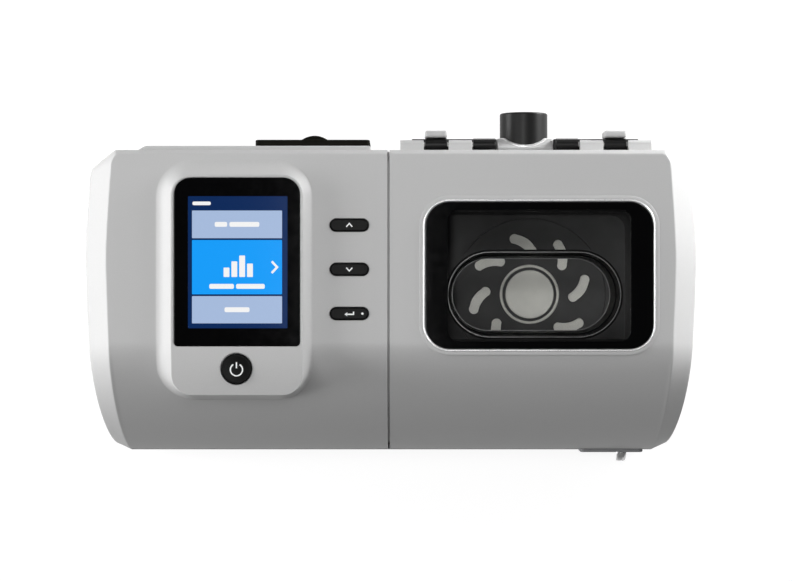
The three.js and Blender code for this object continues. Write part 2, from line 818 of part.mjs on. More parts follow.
const cradleBottomZ = motorBottomZ + cradleDrop;
const cradleRadius = motorRadius + seatGap + cradleThickness;
const earPlaces = [90, 210, 330].map((degrees) => {
  const angle = THREE.MathUtils.degToRad(degrees);
  return [blowerX + cradleEarReach * Math.cos(angle), blowerY + cradleEarReach * Math.sin(angle)];
});
addPart('blower_cradle', cut(join(
  rodZ(blowerX, blowerY, cradleRadius, cradleBottomZ, cradleBottomZ + cradleHeight),
  ...earPlaces.map(([x, y]) => rodZ(x, y, cradleEarRadius, cradleBottomZ,
    cradleBottomZ + cradleEarHeight, round.small))),
rodZ(blowerX, blowerY, motorRadius + seatGap, cradleBottomZ - overshoot,
  cradleBottomZ + cradleHeight + overshoot)), rubber);

// Air path from the blower to the tank

const ductSealX = tankLeft - tankInletLength - seatGap - sealLength;
const ductEndX = ductSealX - seatGap;

function pipeX(x0, x1, bore, outside) {
  return cut(rodX(ductY, ductZ, outside, x0, x1), rodX(ductY, ductZ, bore, x0 - 1, x1 + 1));
}

addPart('air_duct', pipeX(blowerOutletX + seatGap, ductEndX, ductRadius, ductRadius + ductWall), black);
addPart('duct_seal', pipeX(ductSealX, ductSealX + sealLength, ductRadius, ductRadius + sealWidth), rubber);

// Filter cover, filter pad and the foam muffler behind them

function buildFilterCover() {
  const seatY = rearY + humpProud + seatGap;
  const plate = prismY(filterOutline(0), seatY, seatY + filterCoverThickness);
  const gripSteps = 8;
  const dome = Array.from({ length: gripSteps + 1 }, (_, i) => {
    const across = 1 - 2 * i / gripSteps;
    return [gripX + gripWidth / 2 * across, seatY + filterCoverThickness + gripProud * (1 - across ** 2)];
  });
  const grip = prismZ(polygon([
    [gripX - gripWidth / 2, seatY], [gripX + gripWidth / 2, seatY], ...dome,
  ]), filterTopZ - gripTopMargin - gripLength, filterTopZ - gripTopMargin);
  const rimFrontY = rearY;
  const rim = prismY(filterOutline(filterRimInset), rimFrontY, seatY + embed)
    .subtract(prismY(filterOutline(filterRimInset + filterRimThickness), rimFrontY - overshoot, seatY));
  const louvreSpan = filterRight - filterLeft - 2 * louvreSideMargin;
  const louvreZ = filterBottomZ + louvreRise;
  const louvres = Array.from({ length: louvreCount }, (_, i) => {
    const x = filterLeft + louvreSideMargin + louvreSpan * (i + 0.5) / louvreCount;
    return prismY(roundRect(x - louvreWidth / 2, x + louvreWidth / 2, louvreZ, louvreZ + louvreHeight, 1),
      seatY - overshoot, seatY + filterCoverThickness + overshoot, 2);
  });
  return cut(join(plate, grip, rim), ...louvres);
}

addPart('filter_cover', buildFilterCover(), black);
const padRearY = rearY - seatGap;
addPart('intake_filter', prismY(filterOutline(filterRimInset), padRearY - filterPadThickness, padRearY),
  foam);
const mufflerRearY = padRearY - filterPadThickness - seatGap;
addPart('intake_muffler', box(filterLeft + mufflerInset, filterRight - mufflerRightMargin,
  mufflerRearY - mufflerDepth, mufflerRearY, mufflerBottomZ, filterTopZ - mufflerInset), foam);

// Power inlet

const inletRearY = rearY - seatGap;
const inletFrontY = inletRearY - inletDepth;
addPart('dc_inlet', join(
  cut(box(inletX - inletWidth / 2, inletX + inletWidth / 2, inletFrontY, inletRearY,
    inletZ - inletHeight / 2, inletZ + inletHeight / 2),
  rodY(inletX, inletZ, inletBore, inletFrontY + inletFloor, inletRearY + overshoot, round.small)),
  rodY(inletX, inletZ, inletPin, inletFrontY + inletFloor - embed, inletRearY - inletPinSetback, 8)),
    black);

// Humidifier lid with its window

function windowOutline(inset) {
  return roundRect(windowLeft + inset, windowRight - inset, windowFront + inset, windowRear - inset,
    windowCorner - inset * 0.6);
}

function hingeSpans(parity) {
  const spans = [];
  for (let i = parity; i < knucklesPerSide; i += 2) {
    const start = firstKnuckle + i * knucklePitch;
    spans.push([hingeX + start, hingeX + start + knuckleWidth]);
    spans.push([hingeX - start - knuckleWidth, hingeX - start]);
  }
  return spans;
}

const pinBore = pinRadius + pinClearance;
const lipTopZ = topZ - rearTopBevel;
const paneTopZ = topZ + bezelProud - bezelThickness - seatGap;
const paneBottomZ = paneTopZ - paneThickness;

function lidKnuckle([x0, x1]) {
  const web = prismX(polygon([
    [rearY - knuckleRoot, hingeZ - knuckleRoot], [hingeY, hingeZ - knuckleRadius + embed],
    [hingeY, hingeZ + knuckleRadius], [rearY - knuckleRoot, hingeZ + knuckleRadius + knuckleSlope],
  ]), x0, x1);
  return cut(join(rodX(hingeY, hingeZ, knuckleRadius, x0, x1, round.small), web),
    rodX(hingeY, hingeZ, pinBore, x0 - 1, x1 + 1, round.small));
}

const lugFloor = box(hookLeft, hookRight, -far, far, lugBottomZ, lugBottomZ + lugHeight);

function buildLid() {
  const rightHalf = box(lidEdgeX, far, -far, far, 0, far);
  const rearOpening = box(-far, rearCornerX + seatGap, rearY - wall - 2, far, 0, lipBottomZ);
  const lug = lugFloor.intersect(caseSolid(wall - embed)).subtract(caseSolid(wall + lugDepth))
    .intersect(box(-far, far, -far, 0, 0, far));
  const lid = cut(shell.intersect(rightHalf).intersect(upperHalf), rearOpening,
    prismZ(windowOutline(-seatGap), topZ + bezelProud - bezelThickness - seatGap / 2, topZ + overshoot),
    prismZ(windowOutline(bezelSeat), ceilingZ - overshoot, topZ + overshoot));
  return join(lid, lug, ...hingeSpans(1).map(lidKnuckle));
}

addPart('humidifier_lid', buildLid(), silver);
addPart('window_bezel', cut(
  prismZ(windowOutline(0), topZ + bezelProud - bezelThickness, topZ + bezelProud),
  prismZ(roundRect(windowLeft + bezelSideWidth, windowRight - bezelSideWidth, windowFront + bezelEndWidth,
    windowRear - bezelEndWidth, clearCorner), ceilingZ, topZ + bezelProud + overshoot)), gloss);
addPart('window_pane', prismZ(windowOutline(bezelSeat + seatGap), paneBottomZ, paneTopZ), smoke);
const linerTopZ = Math.min(ceilingZ, paneBottomZ) - seatGap;
addPart('lid_liner', cut(
  prismZ(windowOutline(-linerWidth), linerTopZ - linerThickness, linerTopZ),
  prismZ(windowOutline(bezelSeat + seatGap + linerLip), linerTopZ - linerThickness - overshoot,
    linerTopZ + overshoot)), black);

// Hinge: bars with the fixed knuckles, one pin and one lid stop on each side of the outlet

function fixedKnuckle([x0, x1]) {
  const legFrontY = hingeY - knuckleRadius + seatGap;
  const leg = prismX(polygon([
    [legFrontY, hingeBarTopZ - embed], [hingeBarRearY, hingeBarTopZ - embed],
    [hingeBarRearY, hingeZ - knuckleRadius / 2], [hingeBarRearY - knuckleRoot, hingeZ + knuckleRadius / 2],
    [hingeY, hingeZ], [legFrontY, hingeZ],
  ]), x0, x1);
  return cut(join(rodX(hingeY, hingeZ, knuckleRadius, x0, x1, round.small), leg),
    rodX(hingeY, hingeZ, pinBore, x0 - 1, x1 + 1, round.small));
}

const barInnerEnd = bossHalfWidth + seatGap;
const lastKnuckle = firstKnuckle + (knucklesPerSide - 1) * knucklePitch;
const barOuterEnd = lastKnuckle + knuckleWidth / 2;
const pinOuterEnd = lastKnuckle + knuckleWidth - overshoot;
for (const [side, sign] of [['left', -1], ['right', 1]]) {
  const across = (near, away) => (sign > 0 ? [hingeX + near, hingeX + away] : [hingeX - away,
    hingeX - near]);
  const [barX0, barX1] = across(barInnerEnd, barOuterEnd);
  const knuckles = hingeSpans(0).filter(([x0]) => Math.sign(x0 - hingeX) === sign).map(fixedKnuckle);
  addPart(`hinge_bar_${side}`, join(
    box(barX0, barX1, rearY + seatGap, hingeBarRearY, hingeBarBottomZ, hingeBarTopZ), ...knuckles), black);
  const [pinX0, pinX1] = across(firstKnuckle + embed, pinOuterEnd);
  addPart(`hinge_pin_${side}`, rodX(hingeY, hingeZ, pinRadius, pinX0, pinX1, round.small), steel);
  const stopStart = lastKnuckle - knucklePitch;
  const [stopX0, stopX1] = across(stopStart, stopStart + knuckleWidth);
  addPart(`lid_stop_${side}`, prismX(roundRect(hingeBarRearY + seatGap, hingeBarRearY + seatGap + stopDepth,
    hingeBarBottomZ, stopTopZ, stopEdge), stopX0, stopX1, 3), pale);
}

// Rear panel with the leaning boss, and the outlet

const panelFrontY = rearY - panelThickness;
const panelRearY = rearY;
const panelLeft = lidEdgeX + 2 * seatGap;
const boss = prismX(polygon([
  [panelRearY - bossEmbed, panelTopZ - bossEmbed], [rearY + seatGap, panelTopZ - bossEmbed],
  [rearY + seatGap, bossTopZ],
  [bossTopY, bossTopZ], [bossTopY + bossLean, outletZ], [bossTopY + bossLean, bossFootZ],
    [panelRearY - bossEmbed, bossBottomZ],
]), outletX - bossHalfWidth, outletX + bossHalfWidth);
const outletHole = rodY(outletX, outletZ, outletRadius + seatGap, panelFrontY - overshoot, outletEndY);
addPart('rear_panel', cut(join(
  box(panelLeft, rearCornerX, panelFrontY, panelRearY, partingZ + seatGap / 2, panelTopZ), boss),
outletHole), silver);

const flangeFrontY = bayRear + seatGap;
addPart('outlet_port', cut(join(
  rodY(outletX, outletZ, outletRadius, flangeFrontY, outletEndY),
  rodY(outletX, outletZ, outletRadius + outletFlange, flangeFrontY, flangeFrontY + outletFlangeThickness)),
rodY(outletX, outletZ, outletBore, flangeFrontY - overshoot, outletEndY + overshoot)), gloss);
const portEndY = tankRear + tankPortLength;
addPart('outlet_seal', cut(
  rodY(outletX, outletZ, outletBore + sealWidth, portEndY + seatGap, bayRear),
  rodY(outletX, outletZ, outletBore, portEndY, bayRear + overshoot)), rubber);

// Humidifier bay: a deep tray with a deck round it

const bayBottomZ = floorZ + seatGap;
const bayFloorZ = bayBottomZ + bayWall;

function buildBay() {
  const outside = prismZ(roundRect(bayLeft, bayRight, bayFront, bayRear, bayCorner), bayBottomZ, bayTopZ);
  const inside = prismZ(roundRect(bayLeft + bayWall, bayRight - bayWall, bayFront + bayWall,
    bayRear - bayWall,
    bayCorner - bayWall), bayFloorZ, bayTopZ + overshoot);
  const deckZ = partingZ + seatGap;
  // The lid's side and rear corner swing forward past the deck, so it stays inside their path
  const deckRight = caseHalfWidth - crownRear - deckMargin;
  const deck = caseSolid(deckMargin).intersect(join(
    box(bayLeft, deckRight, -far, rearY - deckCornerDepth, deckZ, deckZ + deckThickness),
    box(bayLeft, bayRight, -far, rearY - wall - deckMargin, deckZ, deckZ + deckThickness)));
  const hookSlot = box(hookLeft - seatGap * 2, hookRight + seatGap * 2,
    -far, hookFrontY + hookThickness + latchTravel + overshoot,
    deckZ - overshoot, deckZ + deckThickness + overshoot);
  return cut(join(outside.intersect(caseSolid(wall + seatGap)), deck), inside, hookSlot,
    rodX(ductY, ductZ, ductRadius + sealWidth + seatGap, bayLeft - overshoot,
      bayLeft + bayWall + overshoot),
    box(bayLeft - overshoot, bayLeft + bayWall + overshoot, ductY - ductRadius - sealWidth - seatGap,
      ductY + ductRadius + sealWidth + seatGap, ductZ, bayTopZ + overshoot),
    rodY(outletX, outletZ, outletBore + sealWidth + seatGap, bayRear - bayWall - overshoot,
      bayRear + overshoot),
    box(outletX - outletBore - sealWidth - seatGap, outletX + outletBore + sealWidth + seatGap,
      bayRear - bayWall - overshoot, bayRear + overshoot, outletZ - overshoot, bayTopZ + overshoot));
}

// Latch: a plate in the base tray's front wall, its stem, hook, spring and tab

const latchFaceY = frontY - latchProud;
const latchPlateRearY = latchFaceY + latchPlateThickness;
const stemRearY = latchPlateRearY + latchStemDepth;
const lugInnerY = frontY + wall + lugDepth;
const hookFrontY = lugInnerY + lugClearance;
const springX = (hookLeft + hookRight) / 2;
const springZ = (latchBottomZ + latchTopZ) / 2;
const springFrontY = stemRearY + seatGap;
const springRearY = bayFront - seatGap;

addPart('humidifier_bay', buildBay(), black);
addPart('latch_button', join(
  prismY(roundRect(latchLeft, latchRight, latchBottomZ, latchTopZ, 2), latchFaceY, latchPlateRearY),
  box(latchLeft + latchStemInset, latchRight - latchStemInset, latchPlateRearY - embed, stemRearY,
    latchBottomZ + latchStemInset / 2, latchTopZ - latchStemInset / 2),
  box(hookLeft, hookRight, hookFrontY, hookFrontY + hookThickness, latchTopZ - latchStemInset, hookTopZ)),
    silver);

class Coil extends THREE.Curve {
  getPoint(t) {
    const angle = 2 * Math.PI * springTurns * t;
    const run = springRearY - springFrontY - 2 * springWire;
    return new THREE.Vector3(springX + springRadius * Math.cos(angle), springFrontY + springWire + run * t,
      springZ + springRadius * Math.sin(angle));
  }
}

const wireSection = new THREE.Shape().absarc(0, 0, springWire, 0, 2 * Math.PI);
addPart('latch_spring', solidOf(new THREE.ExtrudeGeometry(wireSection, {
  steps: 8 * springTurns, curveSegments: 3, bevelEnabled: false, extrudePath: new Coil() })), steel);

const tabFrontY = latchFaceY - tabReach;
const tabSteps = 6;
const tabCurve = Array.from({ length: tabSteps + 1 }, (_, i) => [
  THREE.MathUtils.lerp(latchFaceY - seatGap, tabFrontY, i / tabSteps),
    tabZ - tabDroop * (i / tabSteps) ** 2]);
addPart('latch_tab', prismX(polygon([
  ...tabCurve.map(([y, z]) => [y, z]), ...tabCurve.map(([y, z]) => [y, z + tabThickness]).reverse(),
]), tabX - tabWidth / 2, tabX + tabWidth / 2), steel);

// Heater under the tank

const padZ = bayFloorZ + seatGap;
const heaterZ = padZ + heaterPadThickness + seatGap;
const basePlateZ = heaterZ + heaterThickness + seatGap;
const tubZ = basePlateZ + basePlateThickness + seatGap;
const tubTopZ = tubZ + tubHeight;
const diskX = (tankLeft + tankRight) / 2;
const diskY = (tankFront + tankRear) / 2 + diskShiftY;
addPart('heater_pad', rodZ(diskX, diskY, heaterRadius - heaterPadInset, padZ, padZ + heaterPadThickness),
  rubber);
addPart('heater_plate', rodZ(diskX, diskY, heaterRadius, heaterZ, heaterZ + heaterThickness), steel);

// Tank: base plate, swirl plate with its slots, cap, tub, gasket and cover

function tankRing(inset, z) {
  return roundRing(tankLeft + inset, tankRight - inset, tankFront + inset, tankRear - inset,
    tankCorner - inset, z);
}

function beanSlot(index) {
  const angle = THREE.MathUtils.degToRad(slotStart + 360 * index / slotCount);
  const heading = angle + Math.PI / 2 + THREE.MathUtils.degToRad(slotTilt);
  const steps = 5;
  const half = slotLength / 2 - slotWidth / 2;
  const spine = (along, aside) => {
    const bow = slotBow * (1 - (along / half) ** 2);
    return [
      diskX + slotReach * Math.cos(angle) + along * Math.cos(heading) - (aside - bow) * Math.sin(heading),
      diskY + slotReach * Math.sin(angle) + along * Math.sin(heading) + (aside - bow) * Math.cos(heading),
    ];
  };
  const edge = (aside) => Array.from({ length: steps + 1 },
    (_, i) => spine(half * (2 * i / steps - 1), aside));
  const nose = (sign) => [-45, 0, 45].map((degrees) => {
    const turn = THREE.MathUtils.degToRad(degrees * sign);
    const [x, y] = spine(half * sign, slotWidth / 2 * Math.sin(turn));
    const push = slotWidth / 2 * Math.cos(turn) * sign;
    return [x + push * Math.cos(heading), y + push * Math.sin(heading)];
  });
  return polygon([...edge(-slotWidth / 2), ...nose(1), ...edge(slotWidth / 2).reverse(), ...nose(-1)]);
}

const plateHoleRadius = swirlRadius + seatGap;
addPart('tank_base_plate', rodZ(diskX, diskY, plateHoleRadius + basePlateLap,
  basePlateZ, basePlateZ + basePlateThickness), steel);
addPart('swirl_plate', cut(rodZ(diskX, diskY, swirlRadius, tubZ, tubZ + swirlThickness),
  ...Array.from({ length: slotCount }, (_, i) => prismZ(beanSlot(i), tubZ - overshoot,
    tubZ + swirlThickness + overshoot)),
  cut(rodZ(diskX, diskY, capRingRadius, tubZ + swirlThickness - capRingDepth,
    tubZ + swirlThickness + overshoot),
    rodZ(diskX, diskY, capRadius + capRingGap, tubZ, tubZ + swirlThickness + 2))), black);
addPart('centre_cap', rodZ(diskX, diskY, capRadius, tubZ + swirlThickness + seatGap,
  tubZ + swirlThickness + seatGap + capThickness), steel);

addPart('tank_tub', cut(
  loft([tankRing(tubFootInset, tubZ), tankRing(0, tubZ + tubFootHeight), tankRing(0, tubTopZ)]),
  loft([tankRing(tubFootInset + tankWall, tubZ + tankWall),
    tankRing(tankWall, tubZ + tubFootHeight + tankWall),
    tankRing(tankWall, tubTopZ + overshoot)]),
  rodZ(diskX, diskY, plateHoleRadius, tubZ - overshoot, tubZ + tankWall + overshoot)), smoke);

const gasketZ = tubTopZ + seatGap;
const coverZ = gasketZ + gasketThickness + seatGap;
addPart('tank_gasket', cut(
  loft([tankRing(gasketInset, gasketZ), tankRing(gasketInset, gasketZ + gasketThickness)]),
  loft([tankRing(tankWall, gasketZ - overshoot),
    tankRing(tankWall, gasketZ + gasketThickness + overshoot)])), rubber);

const wellLeft = tankLeft + wellLeftMargin;
const wellRight = tankRight - wellRightMargin;
const wellFront = tankFront + wellFrontMargin;
const wellRear = tankRear - wellRearMargin;

function wellRing(inset, z) {
  const radius = (wellRear - wellFront) / 2 - inset - 0.01;
  return roundRing(wellLeft + inset, wellRight - inset, wellFront + inset, wellRear - inset, radius, z, 8);
}

function buildTankCover() {
  const outside = loft([tankRing(0, coverZ), tankRing(0, coverTopZ - coverChamfer),
    tankRing(coverChamfer, coverTopZ)]);
  const inside = loft([tankRing(tankWall, coverZ - overshoot),
    tankRing(tankWall, coverTopZ - coverChamfer - embed),
    tankRing(coverChamfer + tankWall, coverTopZ - tankWall)]);
  const wellOutside = loft([wellRing(wellDraft - tankWall, coverTopZ - wellDepth - tankWall),
    wellRing(-tankWall, coverTopZ - embed)]);
  const lip = loft([wellRing(-wellLip, coverTopZ - embed),
    wellRing(embed - wellLip, coverTopZ + wellLipHeight)]);
  const wellHollow = loft([wellRing(wellDraft, coverTopZ - wellDepth), wellRing(0, coverTopZ),
    wellRing(0, coverTopZ + wellLipHeight + overshoot)]);
  const outletNeck = rodY(outletX, outletZ, outletBore + tankWall, tankRear - tankWall, portEndY);
  const inletNeck = rodX(ductY, ductZ, ductRadius + tankWall, tankLeft - tankInletLength,
    tankLeft + tankWall);
  return cut(join(outside.subtract(inside), wellOutside, lip, outletNeck, inletNeck), wellHollow,
    rodY(outletX, outletZ, outletBore, tankRear - tankWall - overshoot, portEndY + overshoot),
    rodX(ductY, ductZ, ductRadius, tankLeft - tankInletLength - overshoot,
      tankLeft + tankWall + overshoot));
}

addPart('tank_cover', buildTankCover(), smoke);

// Base tray, feet and screws

function buildBase() {
  const lowerHalf = box(-far, far, -far, far, 0, partingZ - seatGap / 2);
  const posts = screwPlaces.map(([x, y]) => rodZ(x, y, screwPostRadius, baseZ + postEmbed,
    partingZ - seatGap / 2,
    round.small));
  const cradlePosts = earPlaces.map(([x, y]) => rodZ(x, y, cradlePostRadius, baseZ + postEmbed,
    cradleBottomZ - seatGap, round.small));
  const postX = filterLeft + mufflerInset + mufflerPostInset;
  const postRearY = mufflerRearY - mufflerPostInset;
  const mufflerPost = box(postX, postX + mufflerPostWidth, postRearY - mufflerPostDepth, postRearY,
    baseZ + postEmbed, mufflerBottomZ - seatGap);
  const standHalfWidth = inletWidth / 2 - inletStandInset;
  const inletStand = box(inletX - standHalfWidth, inletX + standHalfWidth, inletFrontY + inletStandInset,
    inletRearY - 2 * inletStandInset, baseZ + postEmbed, inletZ - inletHeight / 2 - seatGap);
  const screwCuts = screwPlaces.flatMap(([x, y]) => [
    rodZ(x, y, screwRadius + seatGap, 0, far, round.small),
    rodZ(x, y, screwHeadRadius + seatGap, 0, screwBottomZ + screwHeadHeight + seatGap, round.small)]);
  return cut(join(shell.intersect(lowerHalf), ...posts, ...cradlePosts, mufflerPost, inletStand),
    ...screwCuts,
    prismY(roundRect(latchLeft - runGap, latchRight + runGap, latchBottomZ - runGap, latchTopZ + runGap, 2),
      -far, frontY + wall + baseTuck + overshoot));
}

addPart('base_tray', buildBase(), grey);
footPlaces.forEach(([x, y], i) => addPart(`foot_${i + 1}`, rodZ(x, y, footRadius, 0, baseZ, 24), rubber));
screwPlaces.forEach(([x, y], i) => addPart(`base_screw_${i + 1}`, join(
  rodZ(x, y, screwHeadRadius, screwBottomZ, screwBottomZ + screwHeadHeight, 12),
  rodZ(x, y, screwRadius, screwBottomZ + embed, screwTopZ, 12)), steel));

device.position.y = -(outletEndY + tabFrontY) / 2;

export default device;
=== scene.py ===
"""Looks of a bedside ventilator with a heated humidifier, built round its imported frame.

Sizes are millimetres in the frame's axes (+X right, +Y to the rear, +Z up). They become metres when a mesh
is made.
"""

import math
from functools import partial

import bmesh
import bpy
import numpy as np
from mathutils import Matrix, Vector


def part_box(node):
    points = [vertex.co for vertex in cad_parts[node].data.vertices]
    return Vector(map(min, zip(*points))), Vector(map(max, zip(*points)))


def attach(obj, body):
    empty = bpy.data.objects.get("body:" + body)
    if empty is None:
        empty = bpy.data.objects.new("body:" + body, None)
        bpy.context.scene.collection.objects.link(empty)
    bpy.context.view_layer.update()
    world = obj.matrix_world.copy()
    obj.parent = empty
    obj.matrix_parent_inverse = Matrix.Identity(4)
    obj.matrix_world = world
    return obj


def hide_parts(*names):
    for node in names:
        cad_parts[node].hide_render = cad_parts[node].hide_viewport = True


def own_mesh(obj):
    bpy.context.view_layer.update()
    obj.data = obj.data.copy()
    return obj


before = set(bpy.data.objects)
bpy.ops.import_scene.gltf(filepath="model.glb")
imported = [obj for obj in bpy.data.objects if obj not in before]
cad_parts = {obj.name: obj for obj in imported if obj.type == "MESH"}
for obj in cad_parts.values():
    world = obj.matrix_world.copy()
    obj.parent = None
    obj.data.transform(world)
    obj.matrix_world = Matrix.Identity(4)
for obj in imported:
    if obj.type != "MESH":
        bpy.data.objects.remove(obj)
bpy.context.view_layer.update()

MM = 0.001


def node_box(node):
    """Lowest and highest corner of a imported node, in millimetres."""
    low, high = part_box(node)
    return np.round(np.array(low) / MM, 3), np.round(np.array(high) / MM, 3)


# Driving sizes taken from the frame

TRAY_LOW, TRAY_HIGH = node_box("base_tray")
LID_LOW, LID_HIGH = node_box("humidifier_lid")
GLASS_LOW, GLASS_HIGH = node_box("display_glass")
BEZEL_LOW, BEZEL_HIGH = node_box("window_bezel")
OUTLET_LOW, OUTLET_HIGH = node_box("outlet_port")
TUB_LOW, TUB_HIGH = node_box("tank_tub")
SWIRL_LOW, SWIRL_HIGH = node_box("swirl_plate")
FILTER_LOW, FILTER_HIGH = node_box("filter_cover")
LATCH_LOW, LATCH_HIGH = node_box("latch_button")

# Case
HALF_WIDTH = TRAY_HIGH[0]
FRONT_Y = TRAY_LOW[1]
REAR_Y = TRAY_HIGH[1]
BASE_Z = TRAY_LOW[2]
TOP_Z = LID_HIGH[2]
PARTING_Z = 24.0
PARTING_GAP = 0.15
WALL = 2.4
COVER_EDGE_X = -1.6
LID_EDGE_X = LID_LOW[0]
BEVEL_WIDTH = 10.4
BEVEL_DEPTH = 9.5
BEVEL_FRONT = 4.0
BEVEL_NARROWS = 3.8
REAR_CORNER_WIDTHS = (11.8, 0.7, 0.1, 0.0)
REAR_CORNER_DEPTHS = (0.0, 8.0, 9.8, 11.5)
BASE_TUCK = 4.0
NOSE_Z = 20.0
CURVE_START_Y = -21.8
CURVE_TOP_HANDLE = 23.0
CURVE_FOOT_HANDLE_Y = 7.0
CURVE_FOOT_HANDLE_Z = 44.0
REAR_CHAMFER = 1.8
REAR_SOFT = 0.7
CROWN_Y = 16.2
CROWN_REAR = 3.0
CROWN_FRONT = 4.8
CROWN_POWER = 1.35
CROWN_START_X = 90.0
CROWN_FULL_X = 126.0
CREASE_SOFT = 0.5
TOP_CORNER = 4.0
TOP_CORNER_SLOPE = 0.8
EDGE_SOFT = 1.1
COARSE_STEP = 5.0
FINE_STEP_Y = 0.5
FINE_STEP_X = 0.6

# Control pod
POD_TOP = GLASS_HIGH[2]
POD_MARGIN = 0.95
POD_FRONT = -45.6
POD_CORNER = 9.0
POD_SIDE_STEPS = 32
SKIRT_LEFT = 8.0
SKIRT_RIGHT = 4.5
SKIRT_REAR = 7.5
SKIRT_FRONT = 3.5
SKIRT_EDGE = 0.1
SKIRT_FOOT = 0.6
POD_DROOP = 1.3
POD_DROOP_START = -27.0
GLASS_REAR_CORNER = 7.6
GLASS_FRONT_CORNER = 1.9
SCREEN_LOW = (-90.8, -15.7)
SCREEN_HIGH = (-46.3, 43.4)

# Buttons
POWER_CENTRE = (-69.1, -34.0)
POWER_RADIUS = 6.8
MENU_X = -18.7
MENU_LENGTH = 17.1
MENU_WIDTH = 5.3
MENU_ROWS = {"up_button": 30.6, "down_button": 10.7, "enter_button": -9.2}
BUTTON_GAP = 0.35

FAR = 300.0
SMALLEST_RADIUS = 0.02
SHARP_ANGLE = 32.0
NORMAL_WEIGHT = 95
LOOKS = "_looks"


# Outlines: functions that give the points of a closed plan shape, drawn in by an inset

def arc(centre, radius, start, end, steps):
    """Points on an arc, with its angles in quarter turns."""
    turns = np.linspace(start, end, steps + 1) * math.pi / 2
    return [(centre[0] + radius * math.cos(a), centre[1] + radius * math.sin(a)) for a in turns]


def rect_outline(u0, u1, v0, v1, radius, steps=10):
    """A rectangle with round corners: one radius, or one each for the corners at v0 and at v1."""
    radii = radius if isinstance(radius, tuple) else (radius, radius)

    def outline(inset):
        low_r, high_r = (max(r - inset, SMALLEST_RADIUS) for r in radii)
        left, right = u0 + inset, u1 - inset
        low, high = v0 + inset, v1 - inset
        return np.array(
            arc((left + low_r, low + low_r), low_r, 2, 3, steps)
            + arc((right - low_r, low + low_r), low_r, 3, 4, steps)
            + arc((right - high_r, high - high_r), high_r, 0, 1, steps)
            + arc((left + high_r, high - high_r), high_r, 1, 2, steps))
    return outline


def box_outline(low, high, radius, steps=10, across="XY", margin=0.0):
    """The side of a box that lies across two axes, smaller all round by a margin."""
    u, v = ("XYZ".index(axis) for axis in across)
    return rect_outline(low[u] + margin, high[u] - margin, low[v] + margin, high[v] - margin, radius, steps)


def circle_outline(centre, radius, steps=64):
    return lambda inset: np.array(arc(centre, radius - inset, 0, 4, steps)[:-1])


def disc_outline(low, high, margin=0.0, steps=64):
    """The circle that fills a box seen from above, grown by a margin."""
    return circle_outline((low[:2] + high[:2]) / 2, (high[0] - low[0]) / 2 + margin, steps)


def bar_outline(centre, length, width, radius, steps=10):
    """A bar about a centre."""
    u, v = centre
    return rect_outline(u - length / 2, u + length / 2, v - width / 2, v + width / 2, radius, steps)


def pill_outline(centre, length, width, steps=12):
    """A bar with round ends."""
    return bar_outline(centre, length, width, width / 2 - 0.01, steps)


def side_normals(sides):
    """For each side of a polygon or line, the unit vector to its left."""
    sides = sides / np.linalg.norm(sides, axis=1, keepdims=True)
    return np.stack((-sides[:, 1], sides[:, 0]), axis=1)


def mitre(before, after):
    """How far a corner goes when the sides before and after it move by one along their normals."""
    return (before + after) / (1 + (before * after).sum(axis=1, keepdims=True))


def drawn_in(points, inset):
    """A polygon, anticlockwise, with each side moved inwards by the inset."""
    normals = side_normals(np.roll(points, -1, axis=0) - points)
    return points + inset * mitre(np.roll(normals, 1, axis=0), normals)


def softened(points, reach, steps=4):
    """A closed polygon whose corners are replaced by curves that start the reach away."""
    here = np.asarray(points, float)
    out = []
    for i, corner in enumerate(here):
        ends = []
        for other in (here[i - 1], here[(i + 1) % len(here)]):
            side = other - corner
            ends.append(corner + side * min(reach / np.linalg.norm(side), 0.49))
        out.append(bezier([ends[0], corner, ends[1]], steps))
    return np.concatenate(out)


def polygon_outline(points, reach=0.0):
    """A polygon, with softened corners."""
    points = softened(points, reach) if reach else np.asarray(points, float)
    return lambda inset: drawn_in(points, inset) if inset else points


# Curves

def bezier(points, steps=5):
    """Points on the curve from the first to the last point that is drawn towards those between."""
    t = np.linspace(0, 1, steps + 1)[:, None]
    order = len(points) - 1
    return sum(math.comb(order, i) * (1 - t) ** (order - i) * t ** i * np.array(point, float)
               for i, point in enumerate(points))


def edge_arc(radius, steps, start=0.0):
    """A rounded edge from the side to the top: how far it has drawn in, and how far it is from the top."""
    turns = np.linspace(start, math.pi / 2, steps + 1)
    return radius * (1 - np.cos(turns)), radius * (1 - np.sin(turns))


# Mesh helpers

def on_axis(u, v, along, axis):
    """Points of a plan shape at a height along the axis that it is drawn across."""
    along = np.broadcast_to(along, np.shape(u))
    order = {"Z": (u, v, along), "Y": (u, along, v), "X": (along, u, v)}
    return np.stack(order[axis], axis=-1)


def solid(name, points, faces):
    """A closed mesh object from points in millimetres, with its faces turned outwards."""
    mesh = bpy.data.meshes.new(name)
    mesh.from_pydata((np.asarray(points) * MM).tolist(), [], faces)
    shape = bmesh.new()
    shape.from_mesh(mesh)
    bmesh.ops.remove_doubles(shape, verts=shape.verts, dist=1e-6)
    bmesh.ops.recalc_face_normals(shape, faces=shape.faces)
    shape.to_mesh(mesh)
    shape.free()
    piece = bpy.data.objects.new(name, mesh)
    bpy.context.scene.collection.objects.link(piece)
    return piece


